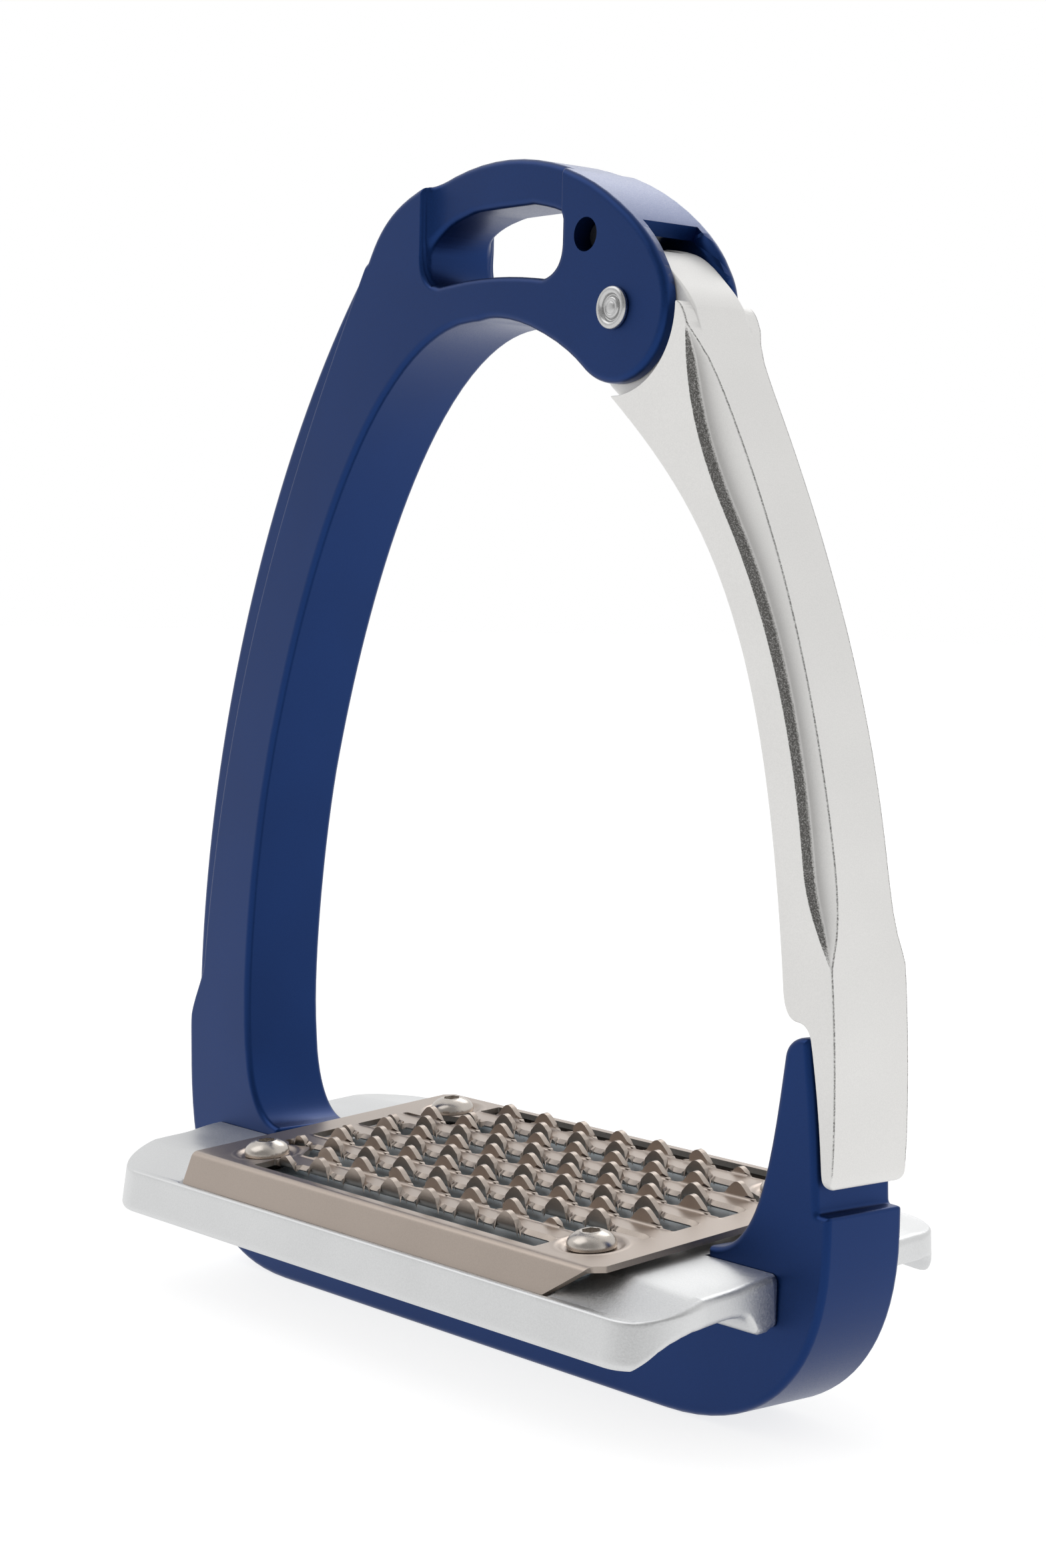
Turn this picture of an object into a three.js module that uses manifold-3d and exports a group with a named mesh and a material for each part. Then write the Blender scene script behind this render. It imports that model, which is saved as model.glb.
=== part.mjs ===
// Stirrup iron with a hinged release arm, built as separate named pieces.
//
// Millimetres. X runs across the foot, Y along the foot (negative is the front),
// Z is up. The origin is on the flat underside of the base bar, midway across
// the iron, in the middle plane of its frame.

import * as THREE from 'three';
import { mergeVertices } from 'three/addons/utils/BufferGeometryUtils.js';
import Module from 'manifold-3d';

// ---------------------------------------------------------------- dimensions

const FRAME_HALF = 7.2;          // half the depth of the frame along Y
const EDGE_BEVEL = 0.5;          // broken edge along every outline
const FIT_GAP = 0.3;             // clearance between pieces that touch
const CURVE_STEPS = 14;          // straight steps in each curved stretch
const MIN_STEP = 0.05;           // shortest step kept in an outline

// frame
const BASE_FLAT_LEFT = -46;
const BASE_FLAT_RIGHT = 44;
const OUTER_LEFT = -74.1;        // outside of the fixed arm
const OUTER_RIGHT = 73.7;        // outside of the base at the release side
const LEDGE_Z = 31.9;            // step that the release arm ends above
const POST_TOP = [69.0, 54.6];   // tip of the post that the arm laps over
const SHOULDER_Z = 24.2;         // top of the base bar beside the footbed
const SEAT_Z = 15.0;             // top of the base bar under the footbed
const SEAT_LEFT = -48.4;
const SEAT_RIGHT = 51.6;
const SCALLOP_DEPTH = 1.9;       // scooped outer corners, front and back
const FOOT_RELIEF = 0.2;         // underside set back along its long edges
const FOOT_LAND = 4.5;           // half depth of the flat that stays between
const FOOT_TAPER = 8.0;          // length over which the relief runs out
const FOOT_CORNER = 6.7;         // half depth of the flat at its two ends
const BASE_BORE_RADIUS = 2.8;    // clearance for the footbed screws
const TREAD_BORE_RADIUS = 2.3;   // thread hole of a plate screw in the footbed
const PAD_BORE_RADIUS = 2.6;     // clearance for a plate screw in the pad
const BASE_SINK_RADIUS = 5.2;    // seat of their heads, open for 1 mm

// crown, with the slot for the stirrup leather
const SLOT_LEFT = -15.3;
const SLOT_RIGHT = 16.2;
const SLOT_FLOOR = 157.0;
const SLOT_CORNER = 4.0;
const BAR_HALF = 5.2;            // half depth of the recessed leather bar
const BAR_UNDERSIDE = 167.3;     // flat that the leather hangs on

// hinge
const PIN = [27.9, 151.1];       // X and Z of the hinge axis
const CHEEK_RADIUS = 10.4;
const CLEVIS_HALF = 5.2;         // half the slot between the cheeks
const CLEVIS_CAVITY_RADIUS = 10.4;
const WINDOW_TOP = [31.2, 163.2];
const TONGUE_HALF = 4.9;
const TONGUE_RADIUS = 8.8;
const SHOULDER_RADIUS = 12.1;    // concave shoulder of the arm round the cheeks
const PIN_RADIUS = 2.2;
const PIN_HEAD_RADIUS = 2.9;
const PIN_HEAD_HEIGHT = 0.7;
const BUSH_OUTER = 3.3;
const SPRING_POCKET_HALF = 2.1;
const SPRING_POCKET_RADIUS = 6.6;
const SPRING_COIL_RADIUS = 4.4;
const SPRING_WIRE_RADIUS = 0.35;
const SPRING_PITCH = 0.9;
const ANCHOR = [21.5, 161.7];    // X and Z of the spring anchor
const ANCHOR_HOLE_RADIUS = 2.4;
const ANCHOR_RECESS = 2.4;       // how far the anchor sits below each face

// footbed and tread, laid out level and then tilted about X
const TREAD_TILT = THREE.MathUtils.degToRad(4.8);
const TREAD_Z = 25.3;            // top of the tread plate above Y = 0
const TREAD_X = 2.8;             // middle of the plate between the arms
const PLATE_LENGTH = 94.6;
const PLATE_DEPTH = 53.0;
const PLATE_CHAMFER = 1.6;       // clipped corners of the plate
const SHEET = 0.9;
const LIP_DROP = 4.7;
const LIP_LEAN = THREE.MathUtils.degToRad(24);
const LIP_CUT = 8.5;             // slanting end of each folded lip
const FOOTBED_HALF_LENGTH = 65.1;
const FOOTBED_HALF_DEPTH = 31.1;
const FOOTBED_CORNER = 9.0;
const RIM_BOTTOM = -10.9;        // lower edge of the rim, below the tread
const RIB_BOTTOM = -9.4;         // underside inside the rim
const RIDGE_LEVEL = -5.1;        // ridge above the rim, below the tread
const RIDGE_INSET = 1.3;
const ROOF_LEVEL = -1.9;         // flat part of the wings
const ROOF_SLOPE_START = 21.5;   // where the top starts to fall to the ridge
const ROOF_SLOPE_END = 27.9;
const REAR_HALF_DEPTH = 29.7;    // the rear rim is upright and a little higher
const REAR_RIDGE_LEVEL = -4.1;
const RIM_WALL = 4.2;            // thickness of the rim's lower part
const POCKET_CEILING = -7.2;
const PAD_HALF_LENGTH = 42.0;
const PAD_HALF_DEPTH = 24.3;
const PAD_TOP = -2.2;
const PAD_BOTTOM = -4.2;

// teeth of the tread plate
const TOOTH_PITCH = 8.8;
const ROW_PITCH = 4.55;
const ROW_COUNT = 10;
const TOOTH_HEIGHT = 2.35;
const TOOTH_HALF_WIDTH = 3.1;
const TOOTH_SHIFT = 0.9;

// screws
const TREAD_SCREW_X = 38.0;
const TREAD_SCREW_Y = 18.5;
const DIMPLE_RADIUS = 4.9;
const DIMPLE_DEPTH = 0.5;
const SCREW_HEAD_RADIUS = 3.5;
const SCREW_HEAD_HEIGHT = 2.3;
const FOOTBED_SCREW_X = 26.0;

// ------------------------------------------------------------------ materials

function finish(color, roughness, metalness) {
  return new THREE.MeshStandardMaterial({ color, roughness, metalness });
}

const navyCoat = finish(0x22386a, 0.42, 0.35);
const blastedSilver = finish(0xd6d5d2, 0.5, 0.85);
const castSilver = finish(0xd9dadb, 0.48, 0.8);
const treadSteel = finish(0x9b8e84, 0.5, 0.75);
const polishedSteel = finish(0xd8d2ca, 0.2, 1.0);
const bearingBronze = finish(0x9a7b4a, 0.4, 0.8);
const springSteel = finish(0x6d7076, 0.35, 1.0);
const blackOxide = finish(0x15161a, 0.55, 0.6);
const greyElastomer = finish(0x8b99a3, 0.6, 0.0);

// -------------------------------------------------------------- solid helpers

const wasm = await Module();
wasm.setup();

function toSolid(geometry) {
  const bare = geometry.clone();
  bare.deleteAttribute('normal');
  bare.deleteAttribute('uv');
  const merged = mergeVertices(bare, 1e-4);
  const mesh = new wasm.Mesh({
    numProp: 3,
    vertProperties: new Float32Array(merged.attributes.position.array),
    triVerts: new Uint32Array(merged.index.array),
  });
  return new wasm.Manifold(mesh);
}

function toGeometry(solid) {
  const mesh = solid.getMesh();
  const geometry = new THREE.BufferGeometry();
  geometry.setAttribute('position', new THREE.BufferAttribute(mesh.vertProperties, 3));
  geometry.setIndex(new THREE.BufferAttribute(mesh.triVerts, 1));
  geometry.computeVertexNormals();
  return geometry;
}

// The outline with its curves cut into steps, none of them shorter than minStep.
function stepped(shape, minStep) {
  const { shape: points } = shape.extractPoints(CURVE_STEPS);
  const kept = [];
  for (const point of points) {
    if (kept.length === 0 || point.distanceTo(kept.at(-1)) > minStep) {
      kept.push(point);
    }
  }
  if (kept.at(-1).distanceTo(kept[0]) < minStep) {
    kept.pop();
  }
  return new THREE.Shape(kept);
}

// An outline drawn in X and Z, extruded along Y from yFront to yBack.
function slab(shape, yFront, yBack, bevel = 0) {
  const geometry = new THREE.ExtrudeGeometry(stepped(shape, MIN_STEP + 1.4 * bevel), {
    depth: yBack - yFront - 2 * bevel,
    bevelEnabled: bevel > 0,
    bevelThickness: bevel,
    bevelSize: bevel,
    bevelOffset: -bevel,
    bevelSegments: 1,
  });
  geometry.rotateX(Math.PI / 2);
  geometry.translate(0, yBack - bevel, 0);
  return toSolid(geometry);
}

// An outline drawn in X and Y, extruded upwards from zLow to zHigh.
function plank(shape, zLow, zHigh) {
  const geometry = new THREE.ExtrudeGeometry(stepped(shape, MIN_STEP), {
    depth: zHigh - zLow,
    bevelEnabled: false,
  });
  geometry.translate(0, 0, zLow);
  return toSolid(geometry);
}

function block(xLow, xHigh, yLow, yHigh, zLow, zHigh) {
  const geometry = new THREE.BoxGeometry(xHigh - xLow, yHigh - yLow, zHigh - zLow);
  geometry.translate((xLow + xHigh) / 2, (yLow + yHigh) / 2, (zLow + zHigh) / 2);
  return toSolid(geometry);
}

// A round rod along Y through the point (x, z).
function rodY([x, z], radius, yLow, yHigh, sides = 40) {
  const geometry = new THREE.CylinderGeometry(radius, radius, yHigh - yLow, sides);
  geometry.translate(x, (yLow + yHigh) / 2, z);
  return toSolid(geometry);
}

// A round rod or cone along Z through the point (x, y).
function rodZ(x, y, radiusLow, radiusHigh, zLow, zHigh, sides = 28) {
  const geometry = new THREE.CylinderGeometry(radiusHigh, radiusLow, zHigh - zLow, sides);
  geometry.rotateX(Math.PI / 2);
  geometry.translate(x, y, (zLow + zHigh) / 2);
  return toSolid(geometry);
}

function polar([x, z], radius, degrees) {
  const angle = THREE.MathUtils.degToRad(degrees);
  return [x + radius * Math.cos(angle), z + radius * Math.sin(angle)];
}

// Lays a piece drawn level round the origin onto the tilted tread.
function layOnTread(solid, x = TREAD_X) {
  return solid
    .rotate([THREE.MathUtils.radToDeg(TREAD_TILT), 0, 0])
    .translate([x, 0, TREAD_Z]);
}

function union(solids) {
  return solids.reduce((whole, piece) => whole.add(piece));
}

const parts = new THREE.Group();

function addPart(name, geometry, material) {
  const mesh = new THREE.Mesh(geometry, material);
  mesh.name = name;
  parts.add(mesh);
}

// ---------------------------------------------------------------------- frame

// Base bar, fixed arm, crown and cheeks are one forging; the release side is
// open above the post.
function frameOutline() {
  const shape = new THREE.Shape();
  shape.moveTo(BASE_FLAT_LEFT, 0);
  shape.lineTo(BASE_FLAT_RIGHT, 0);
  shape.bezierCurveTo(60, 0, OUTER_RIGHT, 8, OUTER_RIGHT, 28);
  shape.lineTo(OUTER_RIGHT, LEDGE_Z);
  shape.lineTo(71.5, LEDGE_Z);
  shape.quadraticCurveTo(71, 44, ...POST_TOP);
  shape.lineTo(67.5, 54.6);
  shape.quadraticCurveTo(64.5, 54.2, 64.2, 51.2);
  shape.bezierCurveTo(62.9, 41, 61.4, 31.2, 57.9, 27.2);
  shape.quadraticCurveTo(55.4, SHOULDER_Z, SEAT_RIGHT, SHOULDER_Z);
  shape.lineTo(SEAT_RIGHT, SEAT_Z);
  shape.lineTo(SEAT_LEFT, SEAT_Z);
  shape.lineTo(SEAT_LEFT, SHOULDER_Z);
  shape.bezierCurveTo(-53, SHOULDER_Z, -56.6, 29, -57.1, 38);
  shape.bezierCurveTo(-58.5, 48, -56, 69.5, -52.7, 82.5);
  shape.bezierCurveTo(-43.5, 117.5, -25.5, 152, -2.2, 150.9);
  shape.bezierCurveTo(4, 152.5, 16, 147.8, ...polar(PIN, CHEEK_RADIUS, -128));
  shape.absarc(...PIN, CHEEK_RADIUS, -128 * Math.PI / 180, 35 * Math.PI / 180, false);
  shape.bezierCurveTo(33.5, 162.5, 25, 168.5, 16.2, 171.5);
  shape.bezierCurveTo(9, 173.8, -1, 176.2, -14, 172.2);
  shape.bezierCurveTo(-22, 170, -26, 167.5, -29.2, 161.2);
  shape.lineTo(-31.8, 161.2);
  shape.bezierCurveTo(-61.5, 127, -76.5, 73, OUTER_LEFT, 33);
  shape.bezierCurveTo(-73.6, 12, -66, 0, BASE_FLAT_LEFT, 0);
  return shape;
}

// Slot under the leather bar, with the bar's flat and sloping underside.
function leatherSlot() {
  const shape = new THREE.Shape();
  shape.moveTo(SLOT_LEFT, SLOT_FLOOR + SLOT_CORNER);
  shape.quadraticCurveTo(SLOT_LEFT, SLOT_FLOOR, SLOT_LEFT + SLOT_CORNER, SLOT_FLOOR - 0.4);
  shape.quadraticCurveTo(0, SLOT_FLOOR + 1, SLOT_RIGHT - SLOT_CORNER, SLOT_FLOOR - 0.8);
  shape.quadraticCurveTo(SLOT_RIGHT, SLOT_FLOOR, SLOT_RIGHT, SLOT_FLOOR + SLOT_CORNER);
  shape.lineTo(SLOT_RIGHT, 164.6);
  shape.quadraticCurveTo(12, 166.6, 7, BAR_UNDERSIDE);
  shape.lineTo(-5, BAR_UNDERSIDE);
  shape.quadraticCurveTo(-12, 166, SLOT_LEFT, 163.4);
  return shape;
}

// Region where the crown is thinned on both faces to leave the leather bar.
function barRecess() {
  const shape = new THREE.Shape();
  shape.moveTo(SLOT_LEFT, 180);
  shape.lineTo(SLOT_LEFT, SLOT_FLOOR + SLOT_CORNER);
  shape.lineTo(SLOT_RIGHT, SLOT_FLOOR + SLOT_CORNER);
  shape.lineTo(SLOT_RIGHT, 180);
  return shape;
}

function fixedArmScallop() {
  const shape = new THREE.Shape();
  shape.moveTo(-29.4, 161.0);
  shape.bezierCurveTo(-45.5, 134, -64.8, 100, -70.2, 48.5);
  shape.bezierCurveTo(-71.2, 44.5, -73.9, 42, -74.4, 36.5);
  shape.lineTo(-80, 36.5);
  shape.lineTo(-80, 120);
  shape.lineTo(-45, 175);
  return shape;
}

// Slot between the cheeks: a round cavity, open through the end of the crown.
function clevisSlot() {
  const shape = new THREE.Shape();
  shape.moveTo(...polar(PIN, CLEVIS_CAVITY_RADIUS, 78));
  shape.lineTo(...WINDOW_TOP);
  shape.lineTo(WINDOW_TOP[0] + 14, 172);
  shape.lineTo(60, 150);
  shape.lineTo(45, 120);
  shape.lineTo(23, 136);
  shape.lineTo(...polar(PIN, CLEVIS_CAVITY_RADIUS, -150));
  shape.absarc(...PIN, CLEVIS_CAVITY_RADIUS, 210 * Math.PI / 180, 78 * Math.PI / 180, true);
  return shape;
}

function makeFrame() {
  const faceCut = FRAME_HALF + 2;
  const scallopFloor = FRAME_HALF - SCALLOP_DEPTH;
  let solid = slab(frameOutline(), -FRAME_HALF, FRAME_HALF, EDGE_BEVEL)
    .subtract(slab(leatherSlot(), -faceCut, faceCut))
    .subtract(slab(clevisSlot(), -CLEVIS_HALF, CLEVIS_HALF))
    .subtract(rodY(PIN, PIN_RADIUS + FIT_GAP, -faceCut, faceCut))
    .subtract(rodY(ANCHOR, ANCHOR_HOLE_RADIUS, -faceCut, faceCut));
  for (const side of [-1, 1]) {
    const low = side < 0 ? -faceCut : BAR_HALF;
    const high = side < 0 ? -BAR_HALF : faceCut;
    solid = solid.subtract(slab(barRecess(), low, high));
    const scallopLow = side < 0 ? -faceCut : scallopFloor;
    const scallopHigh = side < 0 ? -scallopFloor : faceCut;
    solid = solid.subtract(slab(fixedArmScallop(), scallopLow, scallopHigh));
    const screwX = side * FOOTBED_SCREW_X;
    solid = solid
      .subtract(rodZ(screwX, 0, BASE_BORE_RADIUS, BASE_BORE_RADIUS, -1, SEAT_Z + 1))
      .subtract(rodZ(screwX, 0, BASE_SINK_RADIUS, BASE_SINK_RADIUS, -1, 1.0))
      .subtract(rodZ(screwX, 0, BASE_SINK_RADIUS, BASE_BORE_RADIUS, 0.99, 3.5))
      .subtract(footRelief(side));
  }
  return solid;
}

// Sets the underside back along one long edge, so the base stands on its ends.
function footRelief(side) {
  const past = FRAME_HALF + 1;
  const slant = FOOT_TAPER / (FOOT_CORNER - FOOT_LAND);
  const run = slant * (past - FOOT_CORNER);
  const left = BASE_FLAT_LEFT;
  const right = BASE_FLAT_RIGHT;
  const edge = side * past;
  const shape = new THREE.Shape();
  shape.moveTo(left - run, edge);
  shape.lineTo(left + FOOT_TAPER, side * FOOT_LAND);
  shape.lineTo(right - FOOT_TAPER, side * FOOT_LAND);
  shape.lineTo(right + run, edge);
  return plank(shape, -1, FOOT_RELIEF);
}

addPart('frame', toGeometry(makeFrame()), navyCoat);

// ---------------------------------------------------------------- release arm

function armOutline() {
  const shape = new THREE.Shape();
  shape.moveTo(...polar(PIN, SHOULDER_RADIUS, 2));
  shape.lineTo(40.5, 151.4);
  shape.quadraticCurveTo(42.0, 150.8, 42.5, 148.3);
  shape.lineTo(43.4, 146.4);
  shape.bezierCurveTo(61.2, 117, 74.0, 85, 74.1, 41.6);
  shape.lineTo(74.0, 38.2);
  shape.quadraticCurveTo(74.0, 35.7, 73.3, 35.7);
  shape.quadraticCurveTo(72.2, 36, 71.95, 38.3);
  shape.quadraticCurveTo(71.4, 46, 69.6, 54.4);
  shape.quadraticCurveTo(68.9, 56.4, 67.1, 56.5);
  shape.quadraticCurveTo(64.4, 56.4, 64.1, 61.5);
  shape.bezierCurveTo(59, 107, 49, 121.5, ...polar(PIN, SHOULDER_RADIUS, -93));
  shape.absarc(...PIN, SHOULDER_RADIUS, -93 * Math.PI / 180, 2 * Math.PI / 180, false);
  return shape;
}

function armScallop() {
  const shape = new THREE.Shape();
  shape.moveTo(42.3, 148);
  shape.bezierCurveTo(42.3, 138, 46.3, 129.5, 52, 120.8);
  shape.bezierCurveTo(60.5, 107, 65, 92.5, 67.2, 77.2);
  shape.bezierCurveTo(67.9, 72.3, 69.6, 69.3, 72.7, 64);
  shape.lineTo(84, 64);
  shape.lineTo(64, 148);
  return shape;
}

// Trims a scallop cut so that it runs out to nothing at height z, getting
// shallower by the slope for each millimetre of height.
function runOut(cut, side, z, slope) {
  const length = Math.hypot(1, slope);
  const offset = (FRAME_HALF - 0.1 - z * slope) / length;
  return cut.trimByPlane([0, side / length, -slope / length], offset);
}

// Web that carries the tongue from the body of the arm round to its rounded top.
function tongueWeb() {
  const shape = new THREE.Shape();
  shape.moveTo(...polar(PIN, TONGUE_RADIUS - 0.1, 70));
  shape.quadraticCurveTo(33.9, 158.6, 37.9, 154.7);
  shape.quadraticCurveTo(40.2, 152.8, 41.6, 150.6);
  shape.quadraticCurveTo(42.3, 149, 43.1, 146.6);
  shape.lineTo(41, 142);
  shape.lineTo(33, 136.4);
  shape.lineTo(27.2, 138.9);
  shape.lineTo(...polar(PIN, TONGUE_RADIUS + 2.2, -105));
  shape.lineTo(...polar(PIN, TONGUE_RADIUS - 0.1, -150));
  return shape;
}

// Opening in the tongue's rim for the spring leg, wide enough for the whole
// swing of the arm.
function springLegGap() {
  const shape = new THREE.Shape();
  shape.moveTo(...polar(PIN, 5, 66));
  shape.lineTo(...polar(PIN, 14, 62));
  shape.lineTo(...polar(PIN, 16, 100));
  shape.lineTo(...polar(PIN, 14, 148));
  shape.lineTo(...polar(PIN, 5, 144));
  return shape;
}

function makeReleaseArm() {
  const armHalf = FRAME_HALF - 0.1;
  const scallopFloor = armHalf - SCALLOP_DEPTH;
  const tongue = rodY(PIN, TONGUE_RADIUS, -TONGUE_HALF, TONGUE_HALF, 56)
    .add(slab(tongueWeb(), -TONGUE_HALF, TONGUE_HALF));
  let solid = slab(armOutline(), -armHalf, armHalf, EDGE_BEVEL)
    .add(tongue)
    .subtract(rodY(PIN, BUSH_OUTER + FIT_GAP, -armHalf, armHalf))
    .subtract(rodY(PIN, SPRING_POCKET_RADIUS, -SPRING_POCKET_HALF, SPRING_POCKET_HALF))
    .subtract(slab(springLegGap(), -SPRING_POCKET_HALF, SPRING_POCKET_HALF));
  for (const side of [-1, 1]) {
    const low = side < 0 ? -armHalf - 2 : scallopFloor;
    const high = side < 0 ? -scallopFloor : armHalf + 2;
    const scallop = runOut(slab(armScallop(), low, high), side, 147.8, 0.28);
    solid = solid.subtract(runOut(scallop, side, 64.1, -0.4));
  }
  return solid;
}

addPart('release_arm', toGeometry(makeReleaseArm()), blastedSilver);

// ---------------------------------------------------------------------- hinge

function turned(profile, [x, z], segments = 40) {
  const points = profile.map(([radius, y]) => new THREE.Vector2(radius, y));
  const geometry = new THREE.LatheGeometry(points, segments);
  geometry.translate(x, 0, z);
  return toGeometry(toSolid(geometry));
}

function makeHingePin() {
  const seat = FRAME_HALF + FIT_GAP - 0.05;
  const face = seat + PIN_HEAD_HEIGHT;
  const profile = [
    [0, -face + 0.1],
    [0.9, -face + 0.15],
    [1.3, -face + 0.5],
    [1.7, -face + 0.5],
    [1.9, -face],
    [PIN_HEAD_RADIUS - 0.4, -face],
    [PIN_HEAD_RADIUS, -face + 0.3],
    [PIN_HEAD_RADIUS, -seat],
    [PIN_RADIUS, -seat],
    [PIN_RADIUS, face],
    [PIN_RADIUS - 0.4, face + 0.3],
    [0, face + 0.3],
  ];
  return turned(profile, PIN);
}

function makePinRetainer() {
  const seat = FRAME_HALF + FIT_GAP - 0.05;
  const bore = PIN_RADIUS + 0.25;
  const rim = PIN_HEAD_RADIUS + 0.5;
  const profile = [
    [bore, seat],
    [rim, seat],
    [rim, seat + PIN_HEAD_HEIGHT - 0.25],
    [rim - 0.25, seat + PIN_HEAD_HEIGHT],
    [bore, seat + PIN_HEAD_HEIGHT],
    [bore, seat],
  ];
  return turned(profile, PIN);
}

function makeBush(side) {
  const inner = SPRING_POCKET_HALF + 0.1;
  const outer = TONGUE_HALF - 0.05;
  const low = side < 0 ? -outer : inner;
  const high = side < 0 ? -inner : outer;
  const bore = PIN_RADIUS + FIT_GAP;
  const profile = [
    [bore, low],
    [BUSH_OUTER, low],
    [BUSH_OUTER, high],
    [bore, high],
    [bore, low],
  ];
  return turned(profile, PIN);
}

// Closing spring: one leg runs out to the anchor, the coil winds round the pin
// and the other leg turns into the pocket of the arm.
class SpringPath extends THREE.Curve {
  getPoint(t, target = new THREE.Vector3()) {
    const turns = 3.25;
    const startAngle = 76;
    const legShare = 0.1;
    const legLength = 8.6;
    const tailLength = 1.5;
    const halfWidth = turns * SPRING_PITCH / 2;
    const coilShare = THREE.MathUtils.clamp((t - legShare) / (1 - 2 * legShare), 0, 1);
    const degrees = startAngle - 360 * turns * coilShare;
    const angle = THREE.MathUtils.degToRad(degrees);
    const along = new THREE.Vector3(-Math.sin(angle), 0, Math.cos(angle));
    target.set(Math.cos(angle), 0, Math.sin(angle)).multiplyScalar(SPRING_COIL_RADIUS);
    target.y = -halfWidth + SPRING_PITCH * turns * coilShare;
    if (t < legShare) {
      target.addScaledVector(along, legLength * (1 - t / legShare));
    } else if (t > 1 - legShare) {
      target.addScaledVector(along, -tailLength * (t - 1 + legShare) / legShare);
    }
    return target.add(new THREE.Vector3(PIN[0], 0, PIN[1]));
  }
}

function makeSpring() {
  const section = new THREE.Shape();
  section.absarc(0, 0, SPRING_WIRE_RADIUS, 0, 2 * Math.PI, false);
  const geometry = new THREE.ExtrudeGeometry(section, {
    steps: 110,
    curveSegments: 4,
    extrudePath: new SpringPath(),
  });
  return toGeometry(toSolid(geometry));
}

function makeAnchor() {
  const end = FRAME_HALF - ANCHOR_RECESS;
  const radius = ANCHOR_HOLE_RADIUS - FIT_GAP;
  const profile = [
    [0, -end],
    [radius - 0.4, -end],
    [radius, -end + 0.4],
    [radius, -CLEVIS_HALF + 2.2],
    [1.2, -CLEVIS_HALF + 2.6],
    [1.2, CLEVIS_HALF - 2.6],
    [radius, CLEVIS_HALF - 2.2],
    [radius, end - 0.4],
    [radius - 0.4, end],
    [0, end],
  ];
  return turned(profile, ANCHOR, 28);
}

addPart('hinge_pin', makeHingePin(), polishedSteel);
addPart('pin_retainer', makePinRetainer(), polishedSteel);
addPart('hinge_bush_front', makeBush(-1), bearingBronze);
addPart('hinge_bush_rear', makeBush(1), bearingBronze);
addPart('closing_spring', makeSpring(), springSteel);
addPart('spring_anchor', makeAnchor(), blackOxide);

// -------------------------------------------------------------------- footbed

function roundedRectangle(halfLength, halfDepth, radius) {
  const shape = new THREE.Shape();
  const quarter = Math.PI / 2;
  shape.absarc(halfLength - radius, -halfDepth + radius, radius, -quarter, 0, false);
  shape.absarc(halfLength - radius, halfDepth - radius, radius, 0, quarter, false);
  shape.absarc(-halfLength + radius, halfDepth - radius, radius, quarter, 2 * quarter, false);
  shape.absarc(-halfLength + radius, -halfDepth + radius, radius, 2 * quarter, 3 * quarter, false);
  return shape;
}

// Slanted rim below, straight block above; the roof is cut from the block.
function footbedBlank() {
  const rise = RIDGE_LEVEL - RIM_BOTTOM;
  const outline = roundedRectangle(FOOTBED_HALF_LENGTH, FOOTBED_HALF_DEPTH, FOOTBED_CORNER);
  const geometry = new THREE.ExtrudeGeometry(outline, {
    depth: 1,
    curveSegments: 8,
    bevelEnabled: true,
    bevelThickness: rise,
    bevelSize: RIDGE_INSET,
    bevelOffset: -RIDGE_INSET,
    bevelSegments: 1,
  });
  geometry.translate(0, 0, RIM_BOTTOM - 1);
  const rim = toSolid(geometry).trimByPlane([0, 0, 1], RIM_BOTTOM);
  const top = roundedRectangle(
    FOOTBED_HALF_LENGTH - RIDGE_INSET,
    FOOTBED_HALF_DEPTH - RIDGE_INSET,
    FOOTBED_CORNER - RIDGE_INSET,
  );
  return rim.add(plank(top, RIDGE_LEVEL - 0.5, ROOF_LEVEL + 3))
    .trimByPlane([0, -1, 0], -REAR_HALF_DEPTH);
}

// The top is flat near the frame, slopes down, and is flat again by the ridge.
function footbedRoofCut(side) {
  const ridge = side < 0 ? RIDGE_LEVEL : REAR_RIDGE_LEVEL;
  const run = ROOF_SLOPE_END - ROOF_SLOPE_START;
  const fall = ROOF_LEVEL - ridge;
  const slope = block(-90, 90, 0, Math.hypot(run, fall), 0, 20)
    .rotate([-THREE.MathUtils.radToDeg(Math.atan2(fall, run)), 0, 0])
    .translate([0, ROOF_SLOPE_START, ROOF_LEVEL]);
  const cut = slope.add(block(-90, 90, ROOF_SLOPE_END, 60, ridge, 20));
  return side > 0 ? cut : cut.mirror([0, 1, 0]);
}

// Underside pockets, and the arch that opens each wing at its end.
function footbedPocket(side) {
  const inner = 11.0;
  const outer = FOOTBED_HALF_DEPTH - RIM_WALL;
  const low = side < 0 ? -outer : inner;
  const high = side < 0 ? -inner : outer;
  const pockets = [block(-30, 30, low, high, -20, POCKET_CEILING)];
  for (const end of [-1, 1]) {
    const near = 46 * end;
    const far = 62 * end;
    pockets.push(block(Math.min(near, far), Math.max(near, far), low, high, -20, POCKET_CEILING));
    pockets.push(footbedArch(end, side));
  }
  return union(pockets);
}

function footbedArch(end, side) {
  const shape = new THREE.Shape();
  shape.moveTo(10.6, -20);
  shape.lineTo(10.6, -8.4);
  shape.quadraticCurveTo(11.4, -6.2, 15, -6.4);
  shape.quadraticCurveTo(21, -6, 24.6, -7.2);
  shape.quadraticCurveTo(27.4, -8.4, 29.3, RIM_BOTTOM);
  shape.lineTo(29.3, -20);
  const geometry = new THREE.ExtrudeGeometry(shape, {
    depth: 12,
    curveSegments: 8,
    bevelEnabled: false,
  });
  geometry.rotateX(Math.PI / 2);
  geometry.rotateZ(Math.PI / 2);
  const arch = toSolid(geometry);
  const placed = side < 0 ? arch.mirror([0, 1, 0]) : arch;
  return placed.translate([end > 0 ? 58 : -70, 0, 0]);
}

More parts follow.
